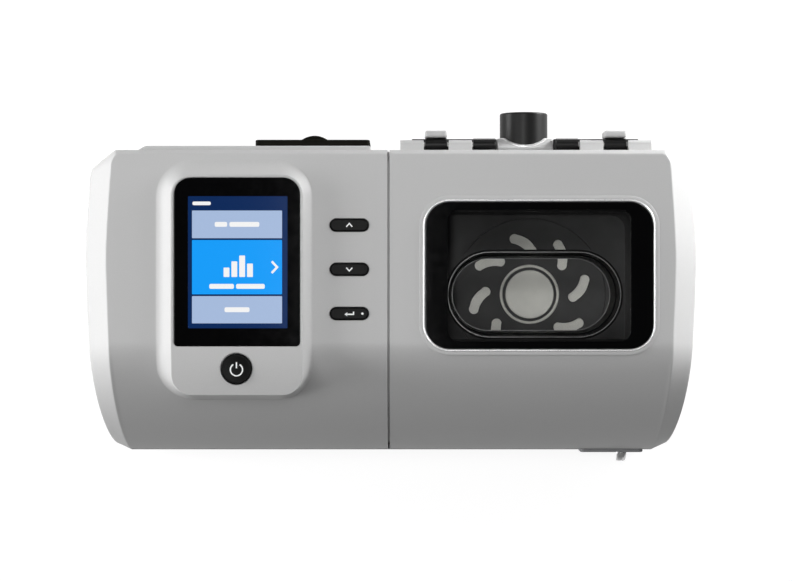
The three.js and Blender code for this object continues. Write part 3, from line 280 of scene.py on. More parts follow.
def loft(name, rings, ends="cap"):
    """Rings with equal point counts joined side by side.

    ends is "cap" for one face at each end, "strips" for faces across from each point to the one that
    mirrors it in the ring, or "loop" to join the last ring to the first one.
    """
    if ends == "loop":
        rings = [*rings, rings[0]]
    rings = np.asarray(rings, float)
    count = rings.shape[1]
    faces = []
    for ring in range(len(rings) - 1):
        for i in range(count):
            a = ring * count + i
            b = ring * count + (i + 1) % count
            faces.append((a, b, b + count, a + count))
    for start in (0, (len(rings) - 1) * count):
        if ends == "cap":
            faces.append(tuple(range(start, start + count)))
        if ends == "strips":
            for i in range(count // 2 - 1):
                faces.append((start + i, start + i + 1, start + count - 2 - i, start + count - 1 - i))
    return solid(name, rings.reshape(-1, 3), faces)


def plan_ring(outline, height, inset, axis="Z"):
    plan = outline(inset)
    return on_axis(plan[:, 0], plan[:, 1], height, axis)


def prism(name, outline, levels, axis="Z"):
    """An outline carried along an axis through levels of (height, inset)."""
    return loft(name, [plan_ring(outline, height, inset, axis) for height, inset in levels])


def plain(name, outline, low, high, axis="Z", inset=0.0):
    """An outline carried straight from low to high along an axis."""
    return prism(name, outline, [(low, inset), (high, inset)], axis)


def box(name, low, high):
    """A plain block."""
    corners = [(low[0], low[1]), (high[0], low[1]), (high[0], high[1]), (low[0], high[1])]
    return plain(name, polygon_outline(corners), low[2], high[2])


def border(name, section):
    """A frame: a closed section of (outline, height, inset), whose outlines have equal point counts."""
    return loft(name, [plan_ring(*part) for part in section], "loop")


def turned(name, centre, profile, axis="Z", steps=64, ends="cap"):
    """A profile of (radius, height) turned about an axis; with "loop" it closes on itself."""
    rings = [plan_ring(circle_outline(centre, radius, steps), height, 0, axis) for radius, height in profile]
    return loft(name, rings, ends)


def edged(low, high, low_edge=0.0, high_edge=0.0, steps=4):
    """Levels for prism(), with a rounded edge at either end."""
    levels = [(low, 0.0)]
    if low_edge:
        levels = [(low + fall, inset) for inset, fall in zip(*edge_arc(low_edge, steps))][::-1]
    if high_edge:
        return levels + [(high - fall, inset) for inset, fall in zip(*edge_arc(high_edge, steps))]
    return levels + [(high, 0.0)]


def combine(how, piece, *tools):
    """Joins, cuts or keeps a piece with tools, which are used up."""
    for tool in tools:
        modifier = piece.modifiers.new("combine", "BOOLEAN")
        modifier.operation = how
        modifier.solver = "MANIFOLD"
        modifier.object = tool
        evaluated = piece.evaluated_get(bpy.context.evaluated_depsgraph_get())
        mesh = bpy.data.meshes.new_from_object(evaluated)
        piece.modifiers.clear()
        used = [piece.data, tool.data]
        piece.data = mesh
        bpy.data.objects.remove(tool)
        for old in used:
            bpy.data.meshes.remove(old)
    return piece


join = partial(combine, "UNION")
cut = partial(combine, "DIFFERENCE")
keep = partial(combine, "INTERSECT")


def bore(piece, outline, low, high, axis="Z", inset=0.0):
    """Cuts a straight hole from low to high along an axis."""
    return cut(piece, plain("bore", outline, low, high, axis, inset))


def open_below(piece):
    """Leaves out the faces that look down, so that a clear sheet is seen through once."""
    mesh = bmesh.new()
    mesh.from_mesh(piece.data)
    bmesh.ops.delete(mesh, geom=[face for face in mesh.faces if face.normal.z < -0.5], context="FACES")
    mesh.to_mesh(piece.data)
    mesh.free()
    return piece


def settle(piece, material, body="case", node=None):
    """Shades a finished piece, gives it its material and body, and lets it stand for a node.

    A piece called NODE_looks stands for the node of that name.
    """
    mesh = piece.data
    mesh.shade_smooth()
    mesh.set_sharp_from_angle(angle=math.radians(SHARP_ANGLE))
    weighted = piece.modifiers.new("weighted normals", "WEIGHTED_NORMAL")
    weighted.keep_sharp = True
    weighted.weight = NORMAL_WEIGHT
    mesh.materials.clear()
    mesh.materials.append(material)
    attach(piece, body)
    if piece.name.endswith(LOOKS):
        node = piece.name.removesuffix(LOOKS)
    if node:
        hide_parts(node)
    return piece


# Materials

NOISE_RANGE = (0.3, 0.7)
BUMP_STRENGTH = 0.35
SCREEN_PIXEL = 0.36
BOARD_RUN = 14.0


def feed(node, **inputs):
    """Sets a node's inputs to values or to other nodes' outputs; in a name, _ stands for a space."""
    for name, value in inputs.items():
        socket = node.inputs[name.replace("_", " ")]
        if isinstance(value, bpy.types.NodeSocket):
            node.id_data.links.new(value, socket)
        else:
            socket.default_value = value


def add_node(tree, kind, *sources, **inputs):
    """A new shader node. The sources go to its first inputs, the others to the inputs named."""
    node = tree.nodes.new("ShaderNode" + kind)
    for socket, source in zip(node.inputs, sources):
        tree.links.new(source, socket)
    feed(node, **inputs)
    return node


def new_material(name):
    made = bpy.data.materials.new(name)
    made.use_nodes = True
    return made, made.node_tree, made.node_tree.nodes["Principled BSDF"]


def noise(tree, place, size, detail, stretch):
    """A noise texture whose features are about the given size in millimetres."""
    mapping = add_node(tree, "Mapping", Vector=place, Scale=stretch)
    texture = add_node(tree, "TexNoise", Vector=mapping.outputs["Vector"], Scale=1 / (size * MM),
                       Detail=detail)
    return texture.outputs["Fac"]


def ranged(tree, value, old, new):
    """A value spread from one range over another."""
    spread = add_node(tree, "MapRange", Value=value, From_Min=old[0], From_Max=old[1], To_Min=new[0],
                      To_Max=new[1])
    return spread.outputs["Result"]


def tinted(tree, value, colour, spread):
    """The colour, darker and lighter by a share as the noise changes."""
    ramp = add_node(tree, "ValToRGB", Fac=value)
    shades = zip(ramp.color_ramp.elements, NOISE_RANGE, (1 - spread, 1 + spread))
    for element, position, share in shades:
        element.color = (*[min(1.0, c * share) for c in colour], 1)
        element.position = position
    return ramp.outputs["Color"]


def surface(name, colour, roughness, metallic=0.0, mottle=0.04, patch=6.0, grain=0.4, bump=0.01, uneven=0.04,
            stretch=(1, 1, 1), specular=0.5, alpha=1.0):
    """A moulded, painted or brushed finish: mottled colour, uneven gloss and a fine grain.

    A number for the colour is a grey. patch and grain are the sizes of the mottling and of the grain.
    """
    made, tree, shader = new_material(name)
    place = add_node(tree, "TexCoord").outputs["Object"]
    broad = noise(tree, place, patch, 2.0, stretch)
    fine = noise(tree, place, grain, 1.0, stretch)
    shades = colour if isinstance(colour, tuple) else (colour, colour, colour)
    feed(shader, Base_Color=tinted(tree, broad, shades, mottle), Metallic=metallic, Alpha=alpha,
         Specular_IOR_Level=specular,
         Roughness=ranged(tree, fine, NOISE_RANGE, (roughness - uneven, roughness + uneven)))
    if bump:
        relief = add_node(tree, "Bump", Strength=BUMP_STRENGTH, Distance=bump * MM, Height=fine)
        feed(shader, Normal=relief.outputs["Normal"])
    return made


def screen_colour(name, colour):
    """Part of a lit display: its colour over a fine grid of pixels."""
    made, tree, shader = new_material(name)
    lit, dimmer, lines = ((*[c * share for c in colour], 1) for share in (1, 0.97, 0.8))
    grid = add_node(tree, "TexBrick", Vector=add_node(tree, "TexCoord").outputs["Object"],
                    Scale=1 / (SCREEN_PIXEL * MM), Mortar_Size=0.03, Brick_Width=0.5, Row_Height=0.5,
                    Color1=lit, Color2=dimmer, Mortar=lines)
    grid.offset = 0.0
    feed(shader, Emission_Color=grid.outputs["Color"], Emission_Strength=1.0, Roughness=0.08,
         Base_Color=(0.004, 0.004, 0.005, 1), Specular_IOR_Level=0.3)
    return made


def board_finish(name):
    """Green solder mask with faint copper runs under it."""
    made, tree, shader = new_material(name)
    runs = add_node(tree, "TexBrick", Vector=add_node(tree, "TexCoord").outputs["Object"],
                    Scale=1 / (BOARD_RUN * MM), Mortar_Size=0.02, Mortar=(0.05, 0.22, 0.09, 1),
                    Color1=(0.012, 0.1, 0.04, 1), Color2=(0.014, 0.12, 0.05, 1))
    feed(shader, Base_Color=runs.outputs["Color"], Roughness=0.35)
    return made


SILVER = surface("silver_paint", 0.44, 0.44, metallic=0.04, mottle=0.02, patch=0.5, grain=0.3, bump=0.004,
                 uneven=0.03, specular=0.08)
GLOSS = surface("gloss_black", (0.0018, 0.0018, 0.002), 0.05, mottle=0.1, patch=20, grain=3, bump=0,
                uneven=0.01, specular=0.35)
BLACK = surface("satin_black", 0.007, 0.38, mottle=0.12, patch=4, grain=0.35, specular=0.16)
BUTTON = surface("button_black", 0.005, 0.3, mottle=0.1, patch=3, grain=0.3, bump=0.006, specular=0.03)
OLIVE = surface("filter_black", (0.005, 0.005, 0.003), 0.5, mottle=0.15, patch=5, grain=0.35, specular=0.03)
# Silver lighter than the paint: a painted highlight for the rounded window trim and the outlet's collar
HIGHLIGHT_SILVER = surface("bright_edge", 0.74, 0.3, metallic=0.5, mottle=0.02, patch=3, grain=0.3, bump=0)
MARK = surface("white_mark", (0.82, 0.83, 0.83), 0.45, mottle=0.02, patch=2, grain=0.2, bump=0)
RUBBER = surface("rubber", 0.018, 0.8, mottle=0.15, patch=3, grain=0.3, bump=0.03)
STEEL = surface("steel", (0.55, 0.55, 0.54), 0.28, metallic=1.0, mottle=0.06, patch=2, grain=0.3, bump=0.004,
                stretch=(1, 1, 0.1))
ALUMINIUM = surface("aluminium", (0.9, 0.9, 0.83), 0.5, metallic=0.05, patch=5, grain=0.25, bump=0.003)
CHROME = surface("chrome", 0.55, 0.3, metallic=0.6, mottle=0.03, patch=4, grain=1, bump=0)
GREY = surface("moulded_grey", (0.2, 0.205, 0.21), 0.55, mottle=0.05, patch=5, bump=0.03)
PALE = surface("moulded_pale", 0.4, 0.45, mottle=0.03, patch=5, bump=0.02)
FOAM = surface("foam", (0.3, 0.31, 0.32), 0.95, mottle=0.5, patch=1.2, grain=0.8, bump=0.3)
BOARD = board_finish("circuit_board")
DARK_TUB = surface("dark_smoke", 0.082, 0.5, mottle=0.08, patch=10, grain=0.8, bump=0.004, specular=0.1)
PANE = surface("clear_pane", (0.02, 0.022, 0.022), 0.06, mottle=0.05, patch=30, grain=4, bump=0,
               uneven=0.01, alpha=0.025, specular=0.3)
CLEAR = surface("clear_cover", (0.025, 0.027, 0.027), 0.12, mottle=0.05, patch=20, grain=3, bump=0,
                uneven=0.03, alpha=0.03, specular=0.2)
DEEP_BLACK = surface("deep_black", 0.003, 0.45, mottle=0.1, patch=8, grain=2, bump=0, specular=0.04)
# A painted highlight: the light that the clear cover's edges catch round the well
EDGE_HIGHLIGHT = surface("clear_edge", 0.12, 0.3, mottle=0.05, patch=5, grain=0.5, bump=0)
SCREEN_NAVY = screen_colour("screen_navy", (0.0, 0.02, 0.1))
SCREEN_PALE = screen_colour("screen_pale", (0.4, 0.52, 0.75))
SCREEN_BLUE = screen_colour("screen_blue", (0.005, 0.35, 1.0))
SCREEN_WHITE = screen_colour("screen_white", (0.95, 0.95, 0.95))


# Case: a side profile carried along X, drawn in at both ends by a bevel, with crowned sides

def case_profile():
    """Y from front to rear, with the height of the case's top and underside there."""
    curve = bezier([
        (FRONT_Y, NOSE_Z), (FRONT_Y + CURVE_FOOT_HANDLE_Y, NOSE_Z + CURVE_FOOT_HANDLE_Z),
        (CURVE_START_Y - CURVE_TOP_HANDLE, TOP_Z), (CURVE_START_Y, TOP_Z)], 56)
    chamfer_y = REAR_Y - REAR_CHAMFER
    chamfer_z = TOP_Z - REAR_CHAMFER
    soft = REAR_SOFT
    fine_y = chamfer_y - TOP_CORNER - 2
    coarse = np.arange(CURVE_START_Y + COARSE_STEP, fine_y, COARSE_STEP)
    fine = np.arange(fine_y, chamfer_y - soft, FINE_STEP_Y)
    flat = [(y, TOP_Z) for y in (*coarse, *fine)]
    upper = bezier([(chamfer_y - soft, TOP_Z), (chamfer_y, TOP_Z), (chamfer_y + soft / 2, TOP_Z - soft / 2)])
    lower = bezier([(REAR_Y - soft / 2, chamfer_z + soft / 2), (REAR_Y, chamfer_z),
                    (REAR_Y, chamfer_z - soft)])
    top = np.concatenate((curve, flat, upper, lower))
    under = np.interp(top[:, 0], [FRONT_Y, FRONT_Y + BASE_TUCK, REAR_Y - BASE_TUCK, REAR_Y],
                      [NOSE_Z, BASE_Z, BASE_Z, BASE_Z + BASE_TUCK])
    return top[:, 0], top[:, 1], under


PROFILE_Y, PROFILE_TOP, PROFILE_UNDER = case_profile()


def case_top(y):
    """Height of the case's top surface at a Y."""
    return np.interp(y, PROFILE_Y, PROFILE_TOP)


def ahead_of_crown(y):
    """Share of the way from the case's widest place to its front."""
    return np.clip((CROWN_Y - y) / (CROWN_Y - FRONT_Y), 0, 1)


def crown_fall(y):
    """How far the case's side lies in from its widest point."""
    behind = np.clip((y - CROWN_Y) / (REAR_Y - CROWN_Y), 0, 1)
    return CROWN_REAR * behind ** CROWN_POWER + CROWN_FRONT * ahead_of_crown(y) ** CROWN_POWER


def rear_corner(x):
    """How far the rear corner's cut reaches forward at an X."""
    widths = [HALF_WIDTH - width for width in REAR_CORNER_WIDTHS]
    return np.interp(abs(x), widths, REAR_CORNER_DEPTHS)


def case_ring(x, share, inset):
    """The profile at one X, drawn in on every side by an inset and by shares of the bevel's depths."""
    low_y = FRONT_Y + inset + share * BEVEL_FRONT
    high_y = REAR_Y - inset - rear_corner(x + np.sign(x) * inset)
    low_z = BASE_Z + inset + share * BEVEL_DEPTH
    high_z = TOP_Z - inset - share * BEVEL_DEPTH
    y = low_y + (PROFILE_Y - FRONT_Y) * (high_y - low_y) / (REAR_Y - FRONT_Y)
    stretch = (high_z - low_z) / (TOP_Z - BASE_Z)
    top = low_z + (PROFILE_TOP - BASE_Z) * stretch
    under = low_z + (PROFILE_UNDER - BASE_Z) * stretch
    y = np.concatenate((y, y[::-1]))
    z = np.concatenate((top, under[::-1]))
    out = np.clip((abs(x) - CROWN_START_X) / (CROWN_FULL_X - CROWN_START_X), 0, 1)
    out = out * out * (3 - 2 * out)
    # The bevel narrows towards the front: there its crease lies further out
    within = np.clip((HALF_WIDTH - abs(x)) / BEVEL_WIDTH, 0, 1)
    shift = np.sign(x) * out * (crown_fall(y) - BEVEL_NARROWS * within * ahead_of_crown(y) ** 3)
    # The top's rear corner is rounded: what lies outside its arc slopes down
    beyond_x = np.maximum(abs(x) - (HALF_WIDTH - BEVEL_WIDTH - TOP_CORNER), 0)
    beyond_y = np.maximum(y - (high_y - REAR_CHAMFER - TOP_CORNER), 0)
    beyond = np.maximum(np.hypot(beyond_x, beyond_y) - TOP_CORNER, 0)
    corner = (beyond_x > 0) & (beyond_y > 0)
    z = np.where(corner, np.minimum(z, TOP_Z - inset - TOP_CORNER_SLOPE * beyond), z)
    return np.stack((x - shift, y, z), axis=1)


def case_stations(inset):
    """X and the share of the bevel there, from the middle to the side."""
    crease = HALF_WIDTH - BEVEL_WIDTH - inset * math.tan(math.pi / 8)
    edge = HALF_WIDTH - inset
    slope = 1 / (edge - crease)
    fine_x = crease - TOP_CORNER - 1
    level = [*np.linspace(0, CROWN_START_X, 3), *np.linspace(CROWN_START_X, fine_x, 8)[1:],
             *np.arange(fine_x + FINE_STEP_X, crease - CREASE_SOFT - 0.2, FINE_STEP_X)]
    stations = [(x, 0.0) for x in level]
    for d in np.linspace(-CREASE_SOFT, CREASE_SOFT, 7):
        stations.append((crease + d, slope * (d + CREASE_SOFT) ** 2 / (4 * CREASE_SOFT)))
    stations += [(x, slope * (x - crease)) for x in np.linspace(crease + 2, edge - EDGE_SOFT, 5)[:-1]]
    wall_share = 1 + EDGE_SOFT / BEVEL_DEPTH
    side_edge = bezier([(edge - EDGE_SOFT, 1 - slope * EDGE_SOFT), (edge, 1), (edge, wall_share)])
    return stations + [tuple(p) for p in side_edge]


def case_solid(name, inset):
    stations = case_stations(inset)
    both = [(-x, share) for x, share in stations[:0:-1]] + stations
    return loft(name, [case_ring(x, share, inset) for x, share in both], ends="strips")


def shell(name, x0, x1, z0, z1, hollow_x1=FAR):
    """The case wall from x0 to x1 and z0 to z1; its hollow reaches to hollow_x1."""
    outside = keep(case_solid(name, 0), box("keep", (x0, -FAR, z0), (x1, FAR, z1)))
    hollow = keep(case_solid("hollow", WALL), box("keep", (-FAR, -FAR, 0), (hollow_x1, FAR, FAR)))
    return cut(outside, hollow)


# Main cover with the control pod

LIP_BOTTOM_Z = 97.0
TONGUE_DEPTH = 3.0
HUMP_LEFT = -115.5
HUMP_RIGHT = -9.2
HUMP_PROUD = 2.3
HUMP_SLOPE = 4.0
HUMP_BOTTOM_Z = 52.0
HUMP_TOP_Z = 100.0
HUMP_EDGE = 0.8
INLET_X = -98.0
INLET_Z = 34.0
INLET_WIDTH = 14.6
INLET_HEIGHT = 12.6
INLET_RIM = 0.5
POD_RIM = 0.5
MENU_RIM = 0.45
FILTER_SEAT = 2.7

glass_outline = box_outline(GLASS_LOW, GLASS_HIGH, (GLASS_FRONT_CORNER, GLASS_REAR_CORNER))


def skirt_height(t):
    """Height of the pod's skirt, 1 at the pod's edge and 0 at the foot, with a soft edge and foot."""
    fine = np.linspace(0, 1, 401)
    slope = np.minimum(1, fine / SKIRT_EDGE) * (1 - fine) ** SKIRT_FOOT
    fallen = np.cumsum(slope) - slope[0]
    return np.interp(t, fine, 1 - fallen / fallen[-1])


def pod_ring(t, z_of):
    """The pod's outline at a share of the skirt's width: up its right side and back along its left."""
    radius = POD_CORNER + SKIRT_LEFT * t
    front = POD_FRONT - SKIRT_FRONT * t
    rear = GLASS_HIGH[1] + POD_MARGIN + SKIRT_REAR * t
    run, inward = edge_arc(radius, 12)
    straight = np.linspace(front + radius, rear - radius, POD_SIDE_STEPS + 2)[1:-1]
    y = np.concatenate((front + run, straight, rear - run[::-1]))
    inward = np.concatenate((inward, np.zeros(POD_SIDE_STEPS), inward[::-1]))
    left = GLASS_LOW[0] - POD_MARGIN - SKIRT_LEFT * t
    right = GLASS_HIGH[0] + POD_MARGIN + SKIRT_RIGHT * t
    y = np.concatenate((y, y[::-1]))
    return np.stack((np.concatenate((right - inward, left + inward[::-1])), y, z_of(y)), axis=1)


def pod_top(y):
    """Height of the pod's top, which droops to its front."""
    ahead = np.clip((POD_DROOP_START - y) / (POD_DROOP_START - POD_FRONT), 0, 1)
    return POD_TOP - POD_DROOP * ahead ** 2


def build_pod():
    rings = [pod_ring(1, lambda y: case_top(y) - 2 * WALL)]
    for t in np.linspace(1, 0, 29) ** 1.4:
        height = skirt_height(t)
        sunk = 0.02 * t
        rings.append(pod_ring(t, lambda y: case_top(y) + (pod_top(y) - case_top(y)) * height - sunk))
    return loft("pod", rings, ends="strips")


def flared(low, high, rim, depth=0.35):
    """Levels for a hole whose mouth is opened out by a soft rim."""
    return [(low, 0.0), (high - depth, 0.0), (high - depth / 3, -rim / 3), (high + 0.02, -rim),
            (high + 2 * WALL, -rim)]


def build_main_cover():
    cover = shell("main_cover_looks", -FAR, COVER_EDGE_X, PARTING_Z + PARTING_GAP, FAR, COVER_EDGE_X - WALL)
    hump_y = REAR_Y + HUMP_PROUD
    hump_sides = [(HUMP_LEFT, REAR_Y - WALL), (HUMP_RIGHT, REAR_Y - WALL), (HUMP_RIGHT, hump_y),
                  (HUMP_LEFT + HUMP_SLOPE, hump_y), (HUMP_LEFT, REAR_Y)]
    hump = prism("hump", polygon_outline(hump_sides, 1.0),
                 edged(HUMP_BOTTOM_Z, HUMP_TOP_Z, HUMP_EDGE, HUMP_EDGE))
    seam_left = COVER_EDGE_X - 1
    seam_right = LID_EDGE_X - 0.1
    seam_fill = box("seam_fill", (seam_left, REAR_Y - WALL - 2, PARTING_Z + 1),
                    (seam_right, REAR_Y - 0.2, LIP_BOTTOM_Z - 0.3))
    # A tongue closes the seam below its mouth, all round
    tongue = keep(case_solid("tongue", TONGUE_DEPTH),
                  box("keep", (seam_left, -FAR, PARTING_Z + 1), (seam_right, FAR, FAR)))
    cut(tongue, case_solid("tongue_hollow", 2 * TONGUE_DEPTH))
    join(cover, build_pod(), hump, seam_fill, tongue)

    power_top = pod_top(POWER_CENTRE[1])
    cut(cover, prism("glass_pocket", glass_outline, flared(GLASS_LOW[2] - 0.3, POD_TOP, POD_RIM)),
        prism("power_hole", circle_outline(POWER_CENTRE, POWER_RADIUS + BUTTON_GAP),
              flared(TOP_Z, power_top, POD_RIM)))
    for row in MENU_ROWS.values():
        menu_hole = pill_outline((MENU_X, row), MENU_LENGTH + 2 * BUTTON_GAP, MENU_WIDTH + 2 * BUTTON_GAP)
        cut(cover, prism("menu_hole", menu_hole, flared(TOP_Z - 2 * WALL, TOP_Z, MENU_RIM)))
    filter_hole = box_outline(FILTER_LOW, FILTER_HIGH, 2.0, across="XZ", margin=FILTER_SEAT)
    bore(cover, filter_hole, REAR_Y - 2 * WALL, hump_y + 1, "Y")
    inlet_hole = bar_outline((INLET_X, INLET_Z), INLET_WIDTH, INLET_HEIGHT, 1.0)
    inlet_levels = [(REAR_Y - 2 * WALL, 0), (REAR_Y - 0.4, 0), (REAR_Y + 0.02, -INLET_RIM),
                    (REAR_Y + WALL, -INLET_RIM)]
    cut(cover, prism("inlet_hole", inlet_hole, inlet_levels, "Y"))
    settle(cover, SILVER)


build_main_cover()


# Display: a black-edged glass, the screen under it and a plain set of tiles on the screen

TILE_LEFT_MARGIN = 1.8
TILE_RIGHT_MARGIN = 2.4
TILE_TOP_MARGIN = 6.4
TILE_GAP = 0.8
TILES = [(12.4, SCREEN_PALE), (24.3, SCREEN_BLUE), (12.2, SCREEN_PALE)]
WORD_HEIGHT = 2.2
TITLE_HEIGHT = 1.6
WORD_DROP = 8.6
WORD_CORNER = 0.7
CHART_HEIGHTS = (4.2, 7.0, 9.6, 6.0)
CHART_PITCH = 3.5
CHART_BAR_WIDTH = 2.6
CHART_DROP = 4.4
MARK_THICKNESS = 0.05
SCREEN_DEPTH = 0.04
TILE_PROUD = 0.015
MARK_PROUD = 0.03


def stroke(name, points, width, low, high):
    """A line with mitred bends and square ends, as a flat raised mark."""
    points = np.asarray(points, float)
    normals = side_normals(np.diff(points, axis=0))
    shift = mitre(np.vstack((normals[:1], normals)), np.vstack((normals, normals[-1:]))) * width / 2
    return plain(name, polygon_outline(np.vstack((points + shift, (points - shift)[::-1]))), low, high)


def build_display():
    mask = prism("display_glass_looks", glass_outline, edged(GLASS_LOW[2], POD_TOP, 0.0, 0.25))
    opening = box_outline(SCREEN_LOW, SCREEN_HIGH, 0.4)
    bore(mask, opening, GLASS_LOW[2] - 1, POD_TOP + 1)
    settle(mask, GLOSS)
    level = POD_TOP - SCREEN_DEPTH
    panel = plain("screen_panel", opening, GLASS_LOW[2] - 0.2, level)
    settle(panel, SCREEN_NAVY, node="lcd_module")
    build_screen_marks(level + TILE_PROUD, level + MARK_PROUD)


def build_screen_marks(tile_level, mark_level):
    """Tiles, bars in place of words, a bar chart in place of the picture, and an arrow head."""
    def bar(name, left, length, y, height, level, material, radius=0.3):
        outline = bar_outline((left + length / 2, y), length, height, radius, 6)
        settle(plain(name, outline, level - MARK_THICKNESS, level), material)

    left = SCREEN_LOW[0] + TILE_LEFT_MARGIN
    right = SCREEN_HIGH[0] - TILE_RIGHT_MARGIN
    middle = (left + right) / 2
    high = SCREEN_HIGH[1] - TILE_TOP_MARGIN
    rows = []
    for number, (height, finish) in enumerate(TILES, 1):
        bar(f"tile_{number}", left, right - left, high - height / 2, height, tile_level, finish)
        rows.append(high - height / 2)
        high -= height + TILE_GAP
    words = {
        "first_word_a": (-10.0, 5.6, rows[0]),
        "first_word_b": (-3.4, 13.4, rows[0]),
        "second_word_a": (-12.4, 11.0, rows[1] - WORD_DROP),
        "second_word_b": (-0.4, 12.8, rows[1] - WORD_DROP),
        "third_word": (-5.6, 11.2, rows[2]),
    }
    title_y = SCREEN_HIGH[1] - TILE_TOP_MARGIN / 2
    bar("title_word", left + 0.2, 8.2, title_y, TITLE_HEIGHT, mark_level, SCREEN_WHITE, WORD_CORNER)
    for name, (start, length, y) in words.items():
        bar(name, middle + start, length, y, WORD_HEIGHT, mark_level, SCREEN_WHITE, WORD_CORNER)
    for number, height in enumerate(CHART_HEIGHTS):
        start = middle - 6.0 + CHART_PITCH * number
        y = rows[1] - CHART_DROP + height / 2
        bar(f"chart_bar_{number + 1}", start, CHART_BAR_WIDTH, y, height, mark_level, SCREEN_WHITE)
    tip = right - 2.2
    head = [(tip - 2.4, rows[1] + 2.6), (tip, rows[1]), (tip - 2.4, rows[1] - 2.6)]
    arrow = stroke("tile_arrow", head, 1.0, mark_level - MARK_THICKNESS, mark_level)
    settle(arrow, SCREEN_WHITE)


build_display()


# Buttons with their marks

POWER_EDGE = 0.6
POWER_DISH = 0.3
POWER_MARK_WIDTH = 0.58
POWER_RING_RADIUS = 2.72
POWER_RING_DEGREES = (122, 418)
ARROW_HALF_WIDTH = 1.35
ARROW_RISE = 0.75
ARROW_STROKE = 0.55


def build_power_button():
    x, y = POWER_CENTRE
    low, high = node_box("power_button")
    profile = [(POWER_RADIUS, low[2] + 1), (POWER_RADIUS, high[2] - POWER_EDGE)]
    profile += [(POWER_RADIUS - inset, high[2] - fall) for inset, fall in zip(*edge_arc(POWER_EDGE, 4, 0.3))]
    profile += [(r, high[2] - POWER_DISH * (1 - (r / (POWER_RADIUS - POWER_EDGE)) ** 2))
                for r in (5.6, 4.4, 3.0, 1.6, 0.05)]
    cap = turned("power_button_looks", (x, y), profile, steps=96)
    settle(cap, BUTTON, "power")
    mark_low = high[2] - POWER_DISH - 0.1
    mark_high = high[2] - POWER_DISH + 0.16
    turns = np.radians(np.linspace(*POWER_RING_DEGREES, 41))
    spots = [(x + POWER_RING_RADIUS * math.cos(a), y - 0.25 + POWER_RING_RADIUS * math.sin(a)) for a in turns]
    for name, line in (("power_ring", spots), ("power_bar", [(x, y + 0.4), (x, y + 3.1)])):
        mark = stroke(name, line, POWER_MARK_WIDTH, mark_low, mark_high)
        settle(mark, MARK, "power")


def menu_marks(body, y, low, high):
    """The white mark on a menu button: an arrow head, or a return arrow with a dot."""
    if body != "enter":
        rise = ARROW_RISE if body == "up" else -ARROW_RISE
        reach = ARROW_HALF_WIDTH
        head = [(MENU_X - reach, y - rise), (MENU_X, y + rise), (MENU_X + reach, y - rise)]
        return [stroke(f"{body}_mark", head, ARROW_STROKE, low, high)]
    tip = MENU_X - 2.2
    line = [(tip + 0.9, y - 0.3), (MENU_X + 1.9, y - 0.3), (MENU_X + 1.9, y + 0.9)]
    head = [(tip, y - 0.3), (tip + 1.3, y - 1.2), (tip + 1.3, y + 0.6)]
    return [
        stroke("enter_line", line, 0.6, low, high),
        plain("enter_head", polygon_outline(head), low, high),
        plain("enter_dot", circle_outline((MENU_X + 5.9, y), 0.55, 24), low, high),
    ]


def build_menu_buttons():
    for name, row in MENU_ROWS.items():
        body = name.split("_")[0]
        low, high = node_box(name)
        outline = pill_outline((MENU_X, row), MENU_LENGTH, MENU_WIDTH)
        cap = prism(f"{name}_looks", outline, edged(low[2] + 0.8, high[2] - 0.05, 0, 0.5))
        settle(cap, BUTTON, body)
        for mark in menu_marks(body, row, high[2] - 0.15, high[2]):
            settle(mark, MARK, body)


build_power_button()
build_menu_buttons()


# Humidifier lid with its window

WINDOW_CORNER = 11.0
WINDOW_LEDGE = 2.0
SWELL_WIDTH = 2.8
SWELL_HEIGHT = 0.3
TRIM_WIDTH = 1.15
TRIM_HEIGHT = 0.5
TRIM_GAP = 0.2
REAR_CORNER_X = 127.3
BEZEL_SIDE = 10.05
BEZEL_END = 3.4
CLEAR_CORNER = 5.0
HINGE_X = (OUTLET_LOW[0] + OUTLET_HIGH[0]) / 2
HINGE_Y = 67.4
HINGE_Z = 99.0
KNUCKLE_RADIUS = 2.1
KNUCKLE_WIDTH = 10.0
LID_KNUCKLE_WIDTH = 10.6
KNUCKLE_PITCH = 10.95
FIRST_KNUCKLE = 13.8
KNUCKLES_PER_SIDE = 4
PIN_BORE = 1.35
KNUCKLE_EDGE = 0.25

window_outline = box_outline(BEZEL_LOW, BEZEL_HIGH, WINDOW_CORNER, 16)


def hinge_spans(parity):
    """X ranges of every second knuckle on both sides of the outlet."""
    starts = [FIRST_KNUCKLE + i * KNUCKLE_PITCH for i in range(parity, KNUCKLES_PER_SIDE, 2)]
    right = [(HINGE_X + start, HINGE_X + start + KNUCKLE_WIDTH) for start in starts]
    left = [(HINGE_X - start - KNUCKLE_WIDTH, HINGE_X - start) for start in starts]
    return sorted(left + right)


def knuckle(span, leg):
    """One knuckle: a barrel and the leg that carries it, drilled for the pin."""
    x0, x1 = span
    barrel = circle_outline((HINGE_Y, HINGE_Z), KNUCKLE_RADIUS, 40)
    piece = prism("knuckle", barrel, edged(x0, x1, KNUCKLE_EDGE, KNUCKLE_EDGE), "X")
    join(piece, prism("leg", polygon_outline(leg), edged(x0, x1, 0.2, 0.2), "X"))
    return bore(piece, circle_outline((HINGE_Y, HINGE_Z), PIN_BORE, 32), x0 - 1, x1 + 1, "X")


